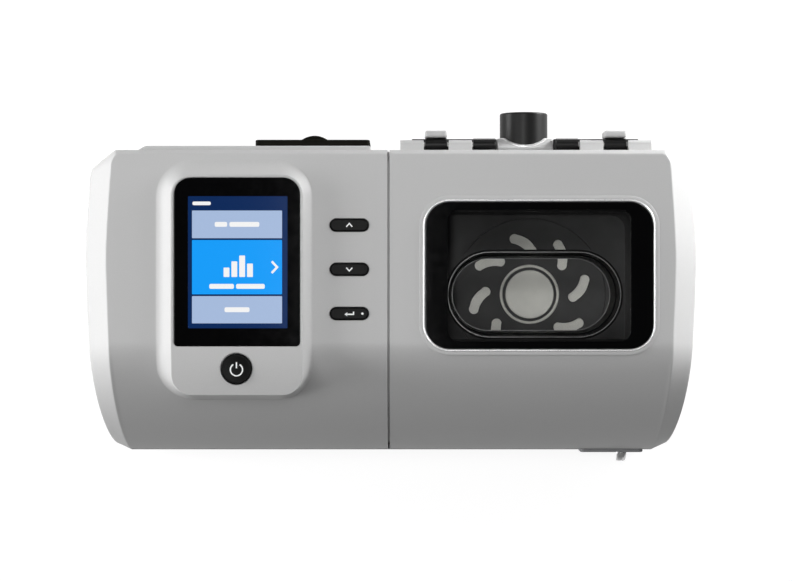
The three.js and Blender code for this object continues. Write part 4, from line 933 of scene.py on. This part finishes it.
def build_lid():
    lid = shell("humidifier_lid_looks", LID_EDGE_X, FAR, PARTING_Z + PARTING_GAP, FAR)
    cut(lid, box("rear_opening", (-FAR, REAR_Y - WALL - 2, 0), (REAR_CORNER_X, FAR, LIP_BOTTOM_Z)))
    swell = [(TOP_Z - 1, -SWELL_WIDTH)]
    swell += [(TOP_Z - 0.01 + SWELL_HEIGHT * math.sin(a), -SWELL_WIDTH * (0.3 + 0.7 * math.cos(a)))
              for a in np.linspace(0, math.pi / 2, 6)]
    join(lid, prism("window_swell", window_outline, swell))
    seat_z = BEZEL_LOW[2] - 0.15
    window_levels = [(TOP_Z - 2 * WALL, WINDOW_LEDGE), (seat_z, WINDOW_LEDGE), (seat_z + 0.01, -TRIM_WIDTH),
                     (TOP_Z + WALL, -TRIM_WIDTH)]
    cut(lid, prism("window_hole", window_outline, window_levels))
    spread = (LID_KNUCKLE_WIDTH - KNUCKLE_WIDTH) / 2
    web = [(REAR_Y - 0.8, HINGE_Z - 0.8), (HINGE_Y, HINGE_Z - KNUCKLE_RADIUS + 0.5),
           (HINGE_Y, HINGE_Z + KNUCKLE_RADIUS), (REAR_Y - 0.8, HINGE_Z + KNUCKLE_RADIUS + 1.4)]
    for start, end in hinge_spans(1):
        join(lid, knuckle((start - spread, end + spread), web))
    settle(lid, SILVER, "lid")


def build_window():
    half = (TRIM_WIDTH - TRIM_GAP) / 2
    arch = [(TOP_Z + TRIM_HEIGHT * math.sin(a), half * math.cos(a) - TRIM_GAP - half)
            for a in np.linspace(0, math.pi, 11)]
    levels = [(TOP_Z - 1, -TRIM_GAP)] + arch + [(TOP_Z - 1, -TRIM_GAP - 2 * half)]
    trim = border("window_trim", [(window_outline, *level) for level in levels])
    # The trim is a raised lip; its light colour is a painted highlight along it
    settle(trim, HIGHLIGHT_SILVER, "lid")
    clear = rect_outline(BEZEL_LOW[0] + BEZEL_SIDE, BEZEL_HIGH[0] - BEZEL_SIDE, BEZEL_LOW[1] + BEZEL_END,
                         BEZEL_HIGH[1] - BEZEL_END, CLEAR_CORNER, 16)
    low, high = BEZEL_LOW[2], BEZEL_HIGH[2]
    section = [(window_outline, *level) for level in edged(low, high, 0, 0.3)]
    section += [(clear, high, -0.1), (clear, high - 0.1, -0.03), (clear, high - 0.3, 0), (clear, low, 0)]
    settle(border("window_bezel_looks", section), GLOSS, "lid")
    low, high = node_box("window_pane")
    pane_outline = box_outline(low, high, WINDOW_CORNER - 2)
    pane = prism("window_pane_looks", pane_outline, edged(low[2], high[2], 0.1, 0.1, 2))
    settle(open_below(pane), PANE, "lid")


build_lid()
build_window()


# Tank: tub, cover with an oval well, swirl plate and cap

TANK_CORNER = 12.0
TANK_WALL = 2.0
TUB_FOOT_INSET = 3.0
TUB_FOOT_HEIGHT = 6.0
COVER_TOP_Z = 94.0
COVER_CHAMFER = 5.0
WELL_LOW = (26.7, -19.3)
WELL_HIGH = (104.1, 18.0)
WELL_DEPTH = 24.0
WELL_DRAFT = 1.6
WELL_LIP = 0.9
WELL_LIP_HEIGHT = 1.0
WELL_LINE = 0.35
DUCT_Y = 29.2
DUCT_Z = 79.0
BORE = 8.5
OUTLET_Z = 82.5
SLOT_COUNT = 8
SLOT_REACH = 24.6
SLOT_LENGTH = 15.2
SLOT_WIDTH = 5.0
SLOT_TILT = -41.0
SLOT_START = 7.0
SLOT_BOW = 1.1
CAP_RING_RADIUS = 14.6
CAP_RING_GAP = 1.4
SWIRL_CENTRE = (SWIRL_LOW[:2] + SWIRL_HIGH[:2]) / 2

tank_outline = box_outline(TUB_LOW, TUB_HIGH, TANK_CORNER, 12)
well_outline = box_outline(WELL_LOW, WELL_HIGH, (WELL_HIGH[1] - WELL_LOW[1]) / 2 - 0.01, 24)


def build_tub():
    foot_z = TUB_LOW[2] + TUB_FOOT_HEIGHT
    tub = prism("tank_tub_looks", tank_outline, [(TUB_LOW[2], TUB_FOOT_INSET), (foot_z, 0), (TUB_HIGH[2], 0)])
    cut(tub, prism("tub_hollow", tank_outline, [
        (TUB_LOW[2] + TANK_WALL, TUB_FOOT_INSET + TANK_WALL), (foot_z + TANK_WALL, TANK_WALL),
        (TUB_HIGH[2] + 1, TANK_WALL)]))
    bore(tub, disc_outline(SWIRL_LOW, SWIRL_HIGH, 0.05, 96), TUB_LOW[2] - 1, TUB_LOW[2] + TANK_WALL + 1)
    settle(tub, DARK_TUB)


def build_cover():
    low, high = node_box("tank_cover")
    top = COVER_TOP_Z
    cover = prism("tank_cover_looks", tank_outline, [
        (low[2], 0), (top - COVER_CHAMFER, 0), (top - 0.6, COVER_CHAMFER - 0.4),
        (top, COVER_CHAMFER + 0.6)])
    cut(cover, prism("cover_hollow", tank_outline, [
        (low[2] - 1, TANK_WALL), (top - COVER_CHAMFER - 0.5, TANK_WALL),
        (top - TANK_WALL, COVER_CHAMFER + TANK_WALL)]))
    ducts = [((HINGE_X, OUTLET_Z), TUB_HIGH[1] - TANK_WALL, high[1], "Y"),
             ((DUCT_Y, DUCT_Z), low[0], TUB_LOW[0] + TANK_WALL, "X")]
    for centre, start, end, axis in ducts:
        join(cover, plain("neck", circle_outline(centre, BORE + TANK_WALL), start, end, axis))
    for centre, start, end, axis in ducts:
        bore(cover, circle_outline(centre, BORE), start - 1, end + 1, axis)
    bore(cover, well_outline, top - WELL_DEPTH - 4, top + 2, inset=-TANK_WALL)
    settle(cover, CLEAR)


def well_line(name, low, high, outer, inner):
    """A thin light line round the well at one height: a painted highlight on the clear well's edge."""
    ring = plain(name, well_outline, low, high, inset=outer)
    bore(ring, well_outline, low - 1, high + 1, inset=inner)
    settle(ring, EDGE_HIGHLIGHT)


def build_well():
    """The well: a wall painted black, a painted shade for the dark that its clear sides show; a light line at
    its lip and another at its clear floor, both painted highlights.
    """
    top = COVER_TOP_Z
    floor_z = top - WELL_DEPTH
    lip_z = top + WELL_LIP_HEIGHT
    wall = prism("well_wall", well_outline, [
        (floor_z - TANK_WALL, WELL_DRAFT - TANK_WALL), (top - 0.5, -TANK_WALL + 0.1),
        (top - 0.4, -WELL_LIP + 0.5), (lip_z - 0.4, -WELL_LIP + 0.5)])
    cut(wall, prism("well_hollow", well_outline, [
        (floor_z - TANK_WALL - 1, WELL_DRAFT + 0.3), (floor_z, WELL_DRAFT), (top - 9, 0.8), (top - 8.6, 0.2),
        (lip_z + 1, -0.1)]))
    # Painted shade: the black stands for the dark that the clear wall of the well shows
    settle(wall, DEEP_BLACK)
    well_line("well_lip_line", top - 0.3, lip_z, -WELL_LIP, -WELL_LIP + WELL_LINE)
    edge = WELL_DRAFT + 0.4
    well_line("well_floor_line", floor_z - 0.4, floor_z + 0.15, edge - WELL_LINE, edge)
    floor = plain("well_floor", well_outline, floor_z - TANK_WALL, floor_z, inset=edge + 0.02)
    settle(floor, CLEAR)


def bean_outline(index):
    """One slot of the swirl plate: a bowed bar with round ends, turned across the plate's radius."""
    angle = math.radians(SLOT_START + 360 * index / SLOT_COUNT)
    heading = angle + math.pi / 2 + math.radians(SLOT_TILT)
    along = np.array((math.cos(heading), math.sin(heading)))
    aside = np.array((-along[1], along[0]))
    centre = SWIRL_CENTRE + SLOT_REACH * np.array((math.cos(angle), math.sin(angle)))
    half = (SLOT_LENGTH - SLOT_WIDTH) / 2
    radius = SLOT_WIDTH / 2

    def half_round(end, sign):
        """One long side and the round end that follows it."""
        side = [(run, -sign * radius, 0) for run in np.linspace(-end, end, 13)]
        nose = [(end, -sign * radius * math.cos(a), sign * radius * math.sin(a))
                for a in np.linspace(0, math.pi, 11)[1:-1]]
        return side + nose

    points = []
    for run, offset, beyond in half_round(half, 1) + half_round(-half, -1):
        bowed = offset - SLOT_BOW * (1 - (run / half) ** 2)
        points.append(centre + (run + beyond) * along + bowed * aside)
    return polygon_outline(points)


def build_swirl_plate():
    low, high = SWIRL_LOW[2], SWIRL_HIGH[2]
    disc = disc_outline(SWIRL_LOW, SWIRL_HIGH, steps=96)
    plate = prism("swirl_plate_looks", disc, edged(low, high, 0, 0.3))
    slot_levels = [(low - 1, 0), (high - 0.3, 0), (high + 0.01, -0.25), (high + 1, -0.25)]
    for index in range(SLOT_COUNT):
        cut(plate, prism("slot", bean_outline(index), slot_levels))
    settle(plate, DARK_TUB)
    cap_low, cap_high = node_box("centre_cap")
    cap_disc = disc_outline(cap_low, cap_high, steps=80)
    cap = prism("centre_cap_looks", cap_disc, edged(cap_low[2], cap_high[2], 0, 0.4))
    settle(cap, ALUMINIUM)
    inner, outer = (cap_high[0] - cap_low[0]) / 2 + CAP_RING_GAP, CAP_RING_RADIUS
    section = [(inner, high - 0.4), (outer, high - 0.4), (outer, high + 0.5), (outer - 0.4, high + 0.9),
               (inner + 0.4, high + 0.9), (inner, high + 0.5)]
    settle(turned("cap_ring", SWIRL_CENTRE, section, steps=80, ends="loop"), ALUMINIUM)


build_tub()
build_cover()
build_well()
build_swirl_plate()


# Rear: panel with the slanted boss, outlet, hinge bars, filter cover

OUTLET_RADIUS = 11.0
OUTLET_FLANGE = 2.2
OUTLET_FLANGE_THICKNESS = 1.8
OUTLET_EDGE = 0.8
OUTLET_MOUTH_EDGE = 0.5
BOSS_HALF_WIDTH = 12.7
BOSS_TOP_Z = 95.2
BOSS_TOP_Y = 66.4
BOSS_FACE_Y = 70.8
BOSS_SHOULDER_Z = 89.4
BOSS_FOOT_Z = 68.0
BOSS_BOTTOM_Z = 61.0
COLLAR_WIDTH = 0.9
COLLAR_PROUD = 0.3
PANEL_TOP_Z = 94.0
BAR_REAR_Y = 70.3
BAR_TOP_Z = 94.3
BAR_BOTTOM_Z = 88.0
GRIP_X = -34.8
GRIP_WIDTH = 12.2
GRIP_PROUD = 2.0
GRIP_LENGTH = 23.0
GRIP_TOP_MARGIN = 3.0
PLATE_THICKNESS = 2.6
FILTER_RIM = 3.0
FILTER_RIM_WALL = 1.8
LOUVRE_COUNT = 6
LOUVRE_MARGIN = 6.0
LOUVRE_RISE = 10.0
LOUVRE_WIDTH = 2.4
LOUVRE_HEIGHT = 6.0


def build_rear_panel():
    low, high = node_box("rear_panel")
    plate = rect_outline(low[0], high[0], low[2], PANEL_TOP_Z, 0.5, 4)
    panel = prism("rear_panel_looks", plate, edged(low[1], REAR_Y, 0, 0.3), "Y")
    side = [(REAR_Y - 1, BOSS_BOTTOM_Z), (BOSS_FACE_Y, BOSS_FOOT_Z), (BOSS_FACE_Y, BOSS_SHOULDER_Z),
            (BOSS_TOP_Y, BOSS_TOP_Z), (REAR_Y + 0.3, BOSS_TOP_Z), (REAR_Y + 0.3, PANEL_TOP_Z - 1),
            (REAR_Y - 1, PANEL_TOP_Z - 1)]
    span = (HINGE_X - BOSS_HALF_WIDTH, HINGE_X + BOSS_HALF_WIDTH)
    join(panel, prism("boss", polygon_outline(side, 0.3), edged(*span, 0.5, 0.5), "X"))
    inner = OUTLET_RADIUS + 0.3
    outer = inner + COLLAR_WIDTH
    bore(panel, circle_outline((HINGE_X, OUTLET_Z), inner, 96), low[1] - 2, OUTLET_HIGH[1], "Y")
    settle(panel, SILVER)
    # The collar is a thin ring whose light colour is a painted highlight of the hole's rounded edge
    section = [(inner, REAR_Y), (outer, REAR_Y), (outer, OUTLET_HIGH[1]), (inner, OUTLET_HIGH[1])]
    collar = turned("outlet_collar", (HINGE_X, OUTLET_Z), section, "Y", 96, "loop")
    proud = [(y + COLLAR_PROUD, z) for y, z in side]
    keep(collar, plain("boss_proud", polygon_outline(proud, 0.3), *span, "X"))
    settle(collar, HIGHLIGHT_SILVER)


def build_outlet():
    front, rear = OUTLET_LOW[1], OUTLET_HIGH[1]
    flange = OUTLET_RADIUS + OUTLET_FLANGE
    flange_y = front + OUTLET_FLANGE_THICKNESS
    profile = [(BORE, front), (flange, front), (flange, flange_y), (OUTLET_RADIUS, flange_y)]
    profile += [(OUTLET_RADIUS - inset, rear - fall) for inset, fall in zip(*edge_arc(OUTLET_EDGE, 5))]
    profile += [(BORE + fall, rear - inset) for inset, fall in zip(*edge_arc(OUTLET_MOUTH_EDGE, 4))]
    port = turned("outlet_port_looks", (HINGE_X, OUTLET_Z), profile, "Y", 96, "loop")
    settle(port, BLACK)


def build_hinge_bars():
    leg_front = HINGE_Y - KNUCKLE_RADIUS + 0.3
    leg_foot = BAR_TOP_Z - 0.5
    leg = [(leg_front, leg_foot), (BAR_REAR_Y, leg_foot), (BAR_REAR_Y, HINGE_Z - KNUCKLE_RADIUS / 2),
           (BAR_REAR_Y - 0.8, HINGE_Z + KNUCKLE_RADIUS / 2), (HINGE_Y, HINGE_Z), (leg_front, HINGE_Z)]
    for side, sign in (("left", -1), ("right", 1)):
        low, high = node_box(f"hinge_bar_{side}")
        bar_outline = rect_outline(low[0], high[0], BAR_BOTTOM_Z, BAR_TOP_Z, 0.4, 4)
        bar = prism(f"hinge_bar_{side}_looks", bar_outline, edged(low[1], BAR_REAR_Y, 0, 0.3), "Y")
        join(bar, *[knuckle(span, leg) for span in hinge_spans(0) if (span[0] - HINGE_X) * sign > 0])
        settle(bar, BLACK)
        low, high = node_box(f"lid_stop_{side}")
        stop_levels = edged(low[2], high[2], 0.3, 1.1)
        stop = prism(f"lid_stop_{side}_looks", box_outline(low, high, 0.9, 6), stop_levels)
        settle(stop, PALE)


def build_filter_cover():
    face = FILTER_HIGH[1] - GRIP_PROUD
    seat = face - PLATE_THICKNESS
    outline = box_outline(FILTER_LOW, FILTER_HIGH, 2.0, 6, "XZ")
    cover = prism("filter_cover_looks", outline, edged(seat, face, 0.2, 0.6), "Y")
    reach = GRIP_WIDTH / 2
    grip_sides = [(GRIP_X - reach, seat + 1), (GRIP_X + reach, seat + 1)]
    grip_sides += [(GRIP_X + reach * a, face + GRIP_PROUD * (1 - a * a)) for a in np.linspace(1, -1, 25)]
    grip_top = FILTER_HIGH[2] - GRIP_TOP_MARGIN
    join(cover, plain("grip", polygon_outline(grip_sides), grip_top - GRIP_LENGTH, grip_top))
    rim_outline = box_outline(FILTER_LOW, FILTER_HIGH, 1.5, 4, "XZ", FILTER_RIM)
    rim = plain("rim", rim_outline, FILTER_LOW[1], seat + 0.5, "Y")
    join(cover, bore(rim, rim_outline, FILTER_LOW[1] - 1, seat + 0.3, "Y", FILTER_RIM_WALL))
    pitch = (FILTER_HIGH[0] - FILTER_LOW[0] - 2 * LOUVRE_MARGIN) / LOUVRE_COUNT
    z = FILTER_LOW[2] + LOUVRE_RISE
    for i in range(LOUVRE_COUNT):
        x = FILTER_LOW[0] + LOUVRE_MARGIN + pitch * (i + 0.5)
        louvre = bar_outline((x, z), LOUVRE_WIDTH, LOUVRE_HEIGHT, LOUVRE_WIDTH / 2 - 0.1, 6)
        bore(cover, louvre, seat - 2, face + 1, "Y")
    settle(cover, OLIVE, "filter")


build_rear_panel()
build_outlet()
build_hinge_bars()
build_filter_cover()


# Front latch: plate with its stem and hook, a polished tab and the coil spring

LATCH_THICKNESS = 2.2
LATCH_TOP_Z = 21.5
LATCH_GAP = 0.45
STEM_INSET = 3.0
HOOK_LEFT = 101.0
HOOK_RIGHT = 113.0
HOOK_THICKNESS = 3.0
HOOK_SETBACK = 1.0
TAB_THICKNESS = 1.3
TAB_DROOP = 2.4
TAB_ROLL = 0.8
TAB_CORNER = 2.2
SPRING_TURNS = 4
SPRING_WIRE_RADIUS = 0.8


def latch_outline(margin=0.0):
    return box_outline(LATCH_LOW, (LATCH_HIGH[0], LATCH_HIGH[1], LATCH_TOP_Z), 2.0, 8, "XZ", margin)


def build_latch():
    face_rear = LATCH_LOW[1] + LATCH_THICKNESS
    plate = prism("latch_button_looks", latch_outline(), edged(LATCH_LOW[1], face_rear, 0.6, 0), "Y")
    stem = box("stem", (LATCH_LOW[0] + STEM_INSET, face_rear - 0.5, LATCH_LOW[2] + STEM_INSET / 2),
               (LATCH_HIGH[0] - STEM_INSET, LATCH_HIGH[1], LATCH_TOP_Z - STEM_INSET / 2))
    hook_rear = LATCH_HIGH[1] - HOOK_SETBACK
    hook = box("hook", (HOOK_LEFT, hook_rear - HOOK_THICKNESS, LATCH_TOP_Z - STEM_INSET),
               (HOOK_RIGHT, hook_rear, LATCH_HIGH[2]))
    join(plate, stem, hook)
    settle(plate, GREY, "latch")


def build_tab():
    """The tab: a sheet that droops to its end and rolls over at its left and right edges."""
    low, high = node_box("latch_tab")
    along = np.linspace(0, 1, 13)
    rings = []
    for across in np.linspace(-1, 1, 21):
        x = (low[0] + high[0]) / 2 + across * (high[0] - low[0]) / 2
        end_y = low[1] + TAB_CORNER * (1 - math.sqrt(1 - max(across, 0) ** 4))
        y = high[1] + (end_y - high[1]) * along
        z = high[2] - TAB_THICKNESS - TAB_DROOP * along ** 2 - TAB_ROLL * abs(across) ** 3
        both_y = np.concatenate((y, y[::-1]))
        both_z = np.concatenate((z + TAB_THICKNESS, z[::-1]))
        rings.append(on_axis(both_y, both_z, x, "X"))
    settle(loft("latch_tab_looks", rings), CHROME, "latch")


def build_spring():
    """The latch's coil spring, which is carried by the case."""
    low, high = node_box("latch_spring")
    centre = (low + high) / 2
    coil_radius = (high[0] - low[0]) / 2 - SPRING_WIRE_RADIUS
    whole = 2 * math.pi * SPRING_TURNS
    rise = (high[1] - low[1] - 2 * SPRING_WIRE_RADIUS) / whole
    rings = []
    for a in np.linspace(0, whole, 24 * SPRING_TURNS + 1):
        outward = np.array((math.cos(a), 0, math.sin(a)))
        along = np.array((-coil_radius * math.sin(a), rise, coil_radius * math.cos(a)))
        aside = np.cross(along / np.linalg.norm(along), outward)
        middle = (centre[0], low[1] + SPRING_WIRE_RADIUS + rise * a, centre[2]) + coil_radius * outward
        rings.append([middle + SPRING_WIRE_RADIUS * (math.cos(b) * outward + math.sin(b) * aside)
                      for b in np.linspace(0, 2 * math.pi, 12, endpoint=False)])
    spring = settle(loft("latch_spring_looks", rings), STEEL)
    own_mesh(spring)


build_latch()
build_tab()
build_spring()


# Underside: tray and feet

SCREW_GAP = 0.3
FOOT_EDGE = 0.8


def build_underside():
    tray = shell("base_tray_looks", -FAR, FAR, 0, PARTING_Z - PARTING_GAP)
    bore(tray, latch_outline(-LATCH_GAP), -FAR, FRONT_Y + WALL + BASE_TUCK + 1, "Y")
    for number in range(1, 5):
        recess = disc_outline(*node_box(f"base_screw_{number}"), SCREW_GAP, 48)
        bore(tray, recess, 0, BASE_Z + WALL + 1)
    settle(tray, GREY)
    for number in range(1, 5):
        low, high = node_box(f"foot_{number}")
        foot = prism(f"foot_{number}_looks", disc_outline(low, high), edged(low[2], high[2], FOOT_EDGE, 0))
        settle(foot, RUBBER)


build_underside()


# Nodes whose shape stays as it is

DRESSED = [
    (BOARD, "main_board key_board"),
    (RUBBER, "key_pad blower_cradle duct_seal outlet_seal tank_gasket heater_pad"),
    (GREY, "volute_body volute_cover motor_housing"),
    (PALE, "impeller"),
    (STEEL, "motor_shaft bearing_lower bearing_upper hinge_pin_left hinge_pin_right"),
    (STEEL, "base_screw_1 base_screw_2 base_screw_3 base_screw_4"),
    (ALUMINIUM, "heater_plate tank_base_plate"),
    (FOAM, "intake_filter intake_muffler"),
    (BLACK, "air_duct dc_inlet humidifier_bay"),
    (DEEP_BLACK, "lid_liner"),
]

for finish, names in DRESSED:
    for node in names.split():
        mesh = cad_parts[node].data
        mesh.materials.clear()
        mesh.materials.append(finish)


# Floor, world, lights and camera

FLOOR_HALF = 40000.0
FLOOR_LOW = -4.0
FLOOR_HIGH = -0.05
FLOOR_GLOW = 0.88
CAMERA_X = 2.3
CAMERA_Y = 1.2
CAMERA_ABOVE_TOP = 960.0
FOCAL_LENGTH = 97.0
SKY_FRONT = 0.03
SKY_REAR = 0.1


def build_floor():
    floor = box("floor", (-FLOOR_HALF, -FLOOR_HALF, FLOOR_LOW), (FLOOR_HALF, FLOOR_HALF, FLOOR_HIGH))
    made, tree, shader = new_material("pale_floor")
    feed(shader, Base_Color=(0.16, 0.16, 0.16, 1), Roughness=0.8, Specular_IOR_Level=0.1)
    # White where it is seen, seen through something or mirrored; a plain grey for the light it returns
    path = add_node(tree, "LightPath").outputs
    seen = path["Is Camera Ray"]
    for ray in ("Is Transmission Ray", "Is Glossy Ray"):
        either = add_node(tree, "Math", seen, path[ray])
        either.operation = "MAXIMUM"
        seen = either.outputs["Value"]
    glow = add_node(tree, "Emission", Color=(1, 1, 1, 1), Strength=FLOOR_GLOW)
    grey = shader.outputs["BSDF"]
    both = add_node(tree, "AddShader", grey, glow.outputs["Emission"])
    choice = add_node(tree, "MixShader", seen, grey, both.outputs["Shader"])
    feed(tree.nodes["Material Output"], Surface=choice.outputs["Shader"])
    floor.data.materials.append(made)


def build_world():
    """An even sky, dimmer towards the front, with a dark patch overhead for the gloss black to mirror."""
    world = bpy.data.worlds.new("studio")
    bpy.context.scene.world = world
    world.use_nodes = True
    tree = world.node_tree
    direction = add_node(tree, "TexCoord").outputs["Generated"]
    parts = add_node(tree, "SeparateXYZ", direction).outputs
    patch = ranged(tree, parts["Z"], (0.965, 0.985), (1.0, 0.05))
    slope = ranged(tree, parts["Y"], (-0.8, 0.5), (SKY_FRONT, SKY_REAR))
    level = add_node(tree, "Math", patch, slope)
    level.operation = "MULTIPLY"
    feed(tree.nodes["Background"], Color=(1, 1, 1, 1), Strength=level.outputs["Value"])


def build_light(name, place, target, size, power):
    lamp = bpy.data.lights.new(name, "AREA")
    lamp.shape = "RECTANGLE"
    lamp.size, lamp.size_y = (s * MM for s in size)
    lamp.energy = power
    lamp_object = bpy.data.objects.new(name, lamp)
    bpy.context.scene.collection.objects.link(lamp_object)
    place = np.array(place) * MM
    aim = np.array(target) * MM - place
    lamp_object.location = place
    lamp_object.rotation_euler = Vector(aim).to_track_quat("-Z", "Y").to_euler()


def build_camera():
    camera = bpy.data.cameras.new("camera")
    camera.sensor_width = 36
    camera.lens = FOCAL_LENGTH
    camera_object = bpy.data.objects.new("camera", camera)
    camera_object.location = (CAMERA_X * MM, CAMERA_Y * MM, (TOP_Z + CAMERA_ABOVE_TOP) * MM)
    bpy.context.scene.collection.objects.link(camera_object)
    bpy.context.scene.camera = camera_object


build_floor()
build_world()
build_light("left_window", (-800, 60, 230), (0, 0, 60), (760, 260), 9.0)
build_light("right_rear_window", (760, 380, 280), (0, 20, 60), (600, 400), 4.2)
build_light("rear_right", (380, 240, 110), (100, 60, 80), (120, 120), 2.3)
build_light("front_right", (480, -760, 60), (60, -60, 60), (520, 110), 0.5)
build_light("key_centre", (-28, 40, 1100), (-28, 40, 60), (40, 420), 2.9)
build_light("key_left", (-560, 60, 1000), (0, 0, 60), (360, 560), 2.85)
build_light("key_rear", (30, 240, 1050), (0, 0, 60), (640, 120), 0.9)
build_camera()
bpy.context.scene.view_settings.view_transform = "Standard"
